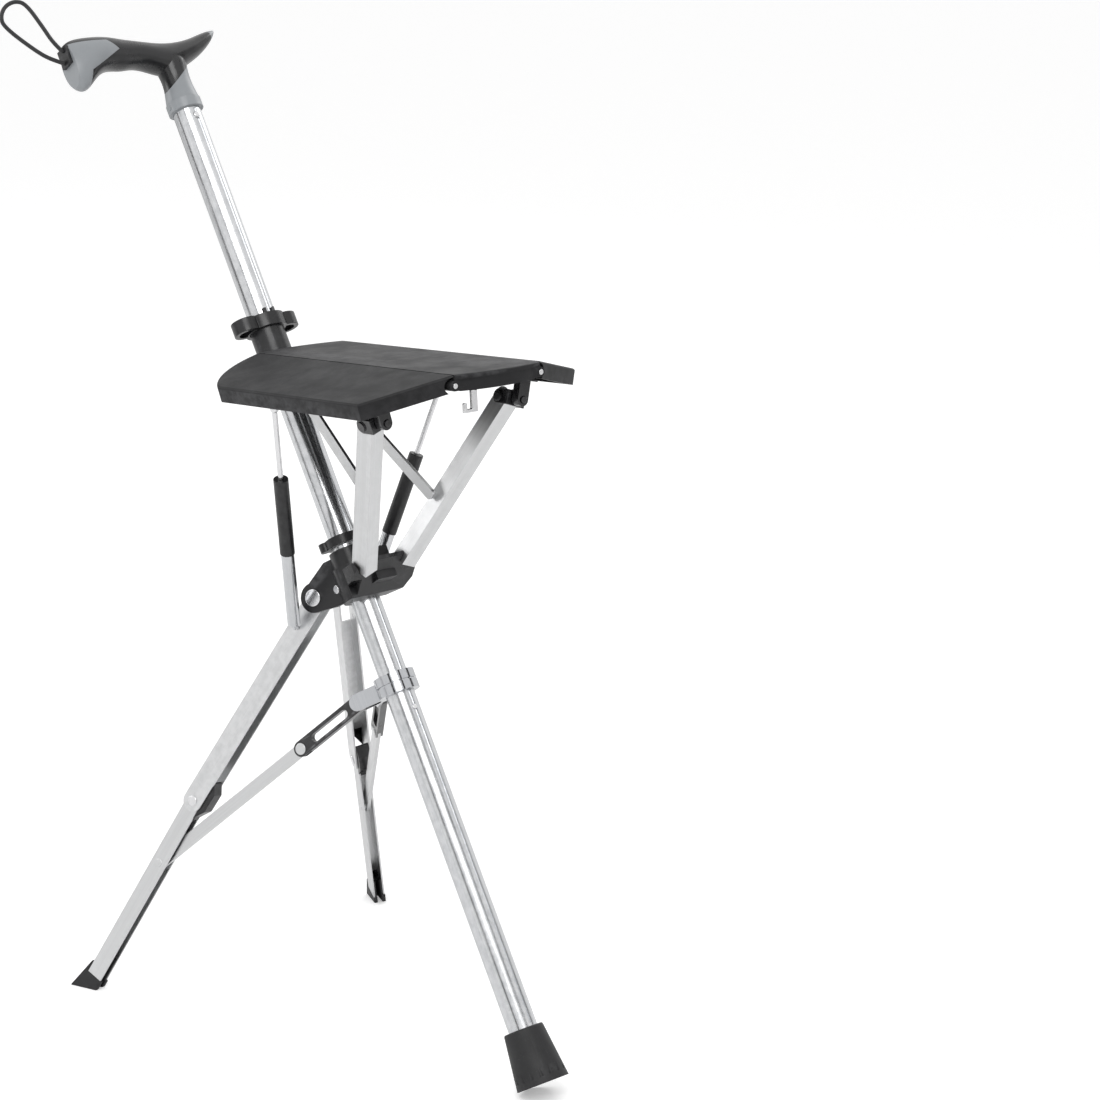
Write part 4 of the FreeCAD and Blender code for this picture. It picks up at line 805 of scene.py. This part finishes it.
def card_material():
    """Dark where the bright metal mirrors it, and clear to everything else."""
    made = bpy.data.materials.new("card_dark")
    made.use_nodes = True
    tree = made.node_tree
    shader = tree.nodes["Principled BSDF"]
    shader.inputs["Base Color"].default_value = (0.02, 0.02, 0.02, 1.0)
    shader.inputs["Roughness"].default_value = 0.9
    clear = tree.nodes.new("ShaderNodeBsdfTransparent")
    path = tree.nodes.new("ShaderNodeLightPath")
    blend = tree.nodes.new("ShaderNodeMixShader")
    tree.links.new(path.outputs["Is Glossy Ray"], blend.inputs[0])
    tree.links.new(clear.outputs["BSDF"], blend.inputs[1])
    tree.links.new(shader.outputs["BSDF"], blend.inputs[2])
    tree.links.new(blend.outputs["Shader"], tree.nodes["Material Output"].inputs["Surface"])
    return made


def make_dark_cards():
    """Tall dark cards beside the camera, which the bright metal shows as dark streaks."""
    made = card_material()
    for index, (azimuth, width, away) in enumerate(CARDS):
        work = bmesh.new()
        bmesh.ops.create_grid(work, x_segments=1, y_segments=1, size=0.5)
        turn = Matrix.Rotation(math.radians(azimuth), 4, "Z")
        stand = Matrix.Rotation(math.radians(90), 4, "X")
        size = Matrix.Diagonal((width, CARD_HEIGHT, 1.0, 1.0))
        place = turn @ Matrix.Translation(Vector((0.0, -away, CARD_MIDDLE))) @ stand @ size
        bmesh.ops.transform(work, matrix=place, verts=work.verts)
        mesh = bpy.data.meshes.new("dark_card_%d" % index)
        work.to_mesh(mesh)
        work.free()
        mesh.materials.append(made)
        piece_object(mesh.name, mesh)


def make_sky():
    world = bpy.data.worlds.new("studio_sky")
    bpy.context.scene.world = world
    world.use_nodes = True
    tree = world.node_tree
    back = tree.nodes["Background"]
    back.inputs["Color"].default_value = (1.0, 1.0, 1.0, 1.0)
    path = tree.nodes.new("ShaderNodeLightPath")
    clear = math_node(tree, "MAXIMUM", path.outputs["Is Camera Ray"], path.outputs["Is Glossy Ray"])
    strength = spread(tree, clear, 0.0, 1.0, stage_settings().sky_strength, 1.0)
    tree.links.new(strength, back.inputs["Strength"])


def make_lamp(name, place, size, power):
    data = bpy.data.lights.new(name, "AREA")
    data.shape = "RECTANGLE"
    data.size = size[0]
    data.size_y = size[1]
    data.energy = power
    lamp = bpy.data.objects.new(name, data)
    bpy.context.scene.collection.objects.link(lamp)
    line = Vector(LAMP_TARGET) - Vector(place)
    turn = line.to_track_quat("-Z", "Y").to_matrix().to_4x4()
    lamp.matrix_world = Matrix.Translation(Vector(place)) @ turn


def make_lamps():
    for name, place, size, share in LAMPS:
        make_lamp(name, place, size, stage_settings().key_power * share)


class STICK_PT_panel(bpy.types.Panel):
    """Lists the pieces of the seat and their settings"""
    bl_idname = "STICK_PT_panel"
    bl_label = "Walking stick seat"
    bl_space_type = "VIEW_3D"
    bl_region_type = "UI"
    bl_category = "Stick Seat"

    def draw(self, context):
        layout = self.layout
        scene = context.scene
        for group in (scene.stick_finishes, scene.stick_sizes, scene.stick_stage):
            box = layout.box()
            for name in group.__annotations__:
                box.prop(group, name)
        for operator in OPERATORS:
            layout.operator(operator.bl_idname)


OPERATORS = (STICK_OT_stage, STICK_OT_strap, STICK_OT_tube, STICK_OT_handle, STICK_OT_sleeve,
             STICK_OT_seat, STICK_OT_struts, STICK_OT_hub, STICK_OT_legs, STICK_OT_ring,
             STICK_OT_springs)
CLASSES = (StickFinishes, StickSizes, StickStage) + OPERATORS + (STICK_PT_panel,)


def register():
    for entry in CLASSES:
        bpy.utils.register_class(entry)
    bpy.types.Scene.stick_finishes = bpy.props.PointerProperty(type=StickFinishes)
    bpy.types.Scene.stick_sizes = bpy.props.PointerProperty(type=StickSizes)
    bpy.types.Scene.stick_stage = bpy.props.PointerProperty(type=StickStage)


def unregister():
    del bpy.types.Scene.stick_stage
    del bpy.types.Scene.stick_sizes
    del bpy.types.Scene.stick_finishes
    for entry in reversed(CLASSES):
        bpy.utils.unregister_class(entry)


def main():
    register()
    for operator in OPERATORS:
        family, name = operator.bl_idname.split(".")
        getattr(getattr(bpy.ops, family), name)()


if __name__ == "__main__":
    main()
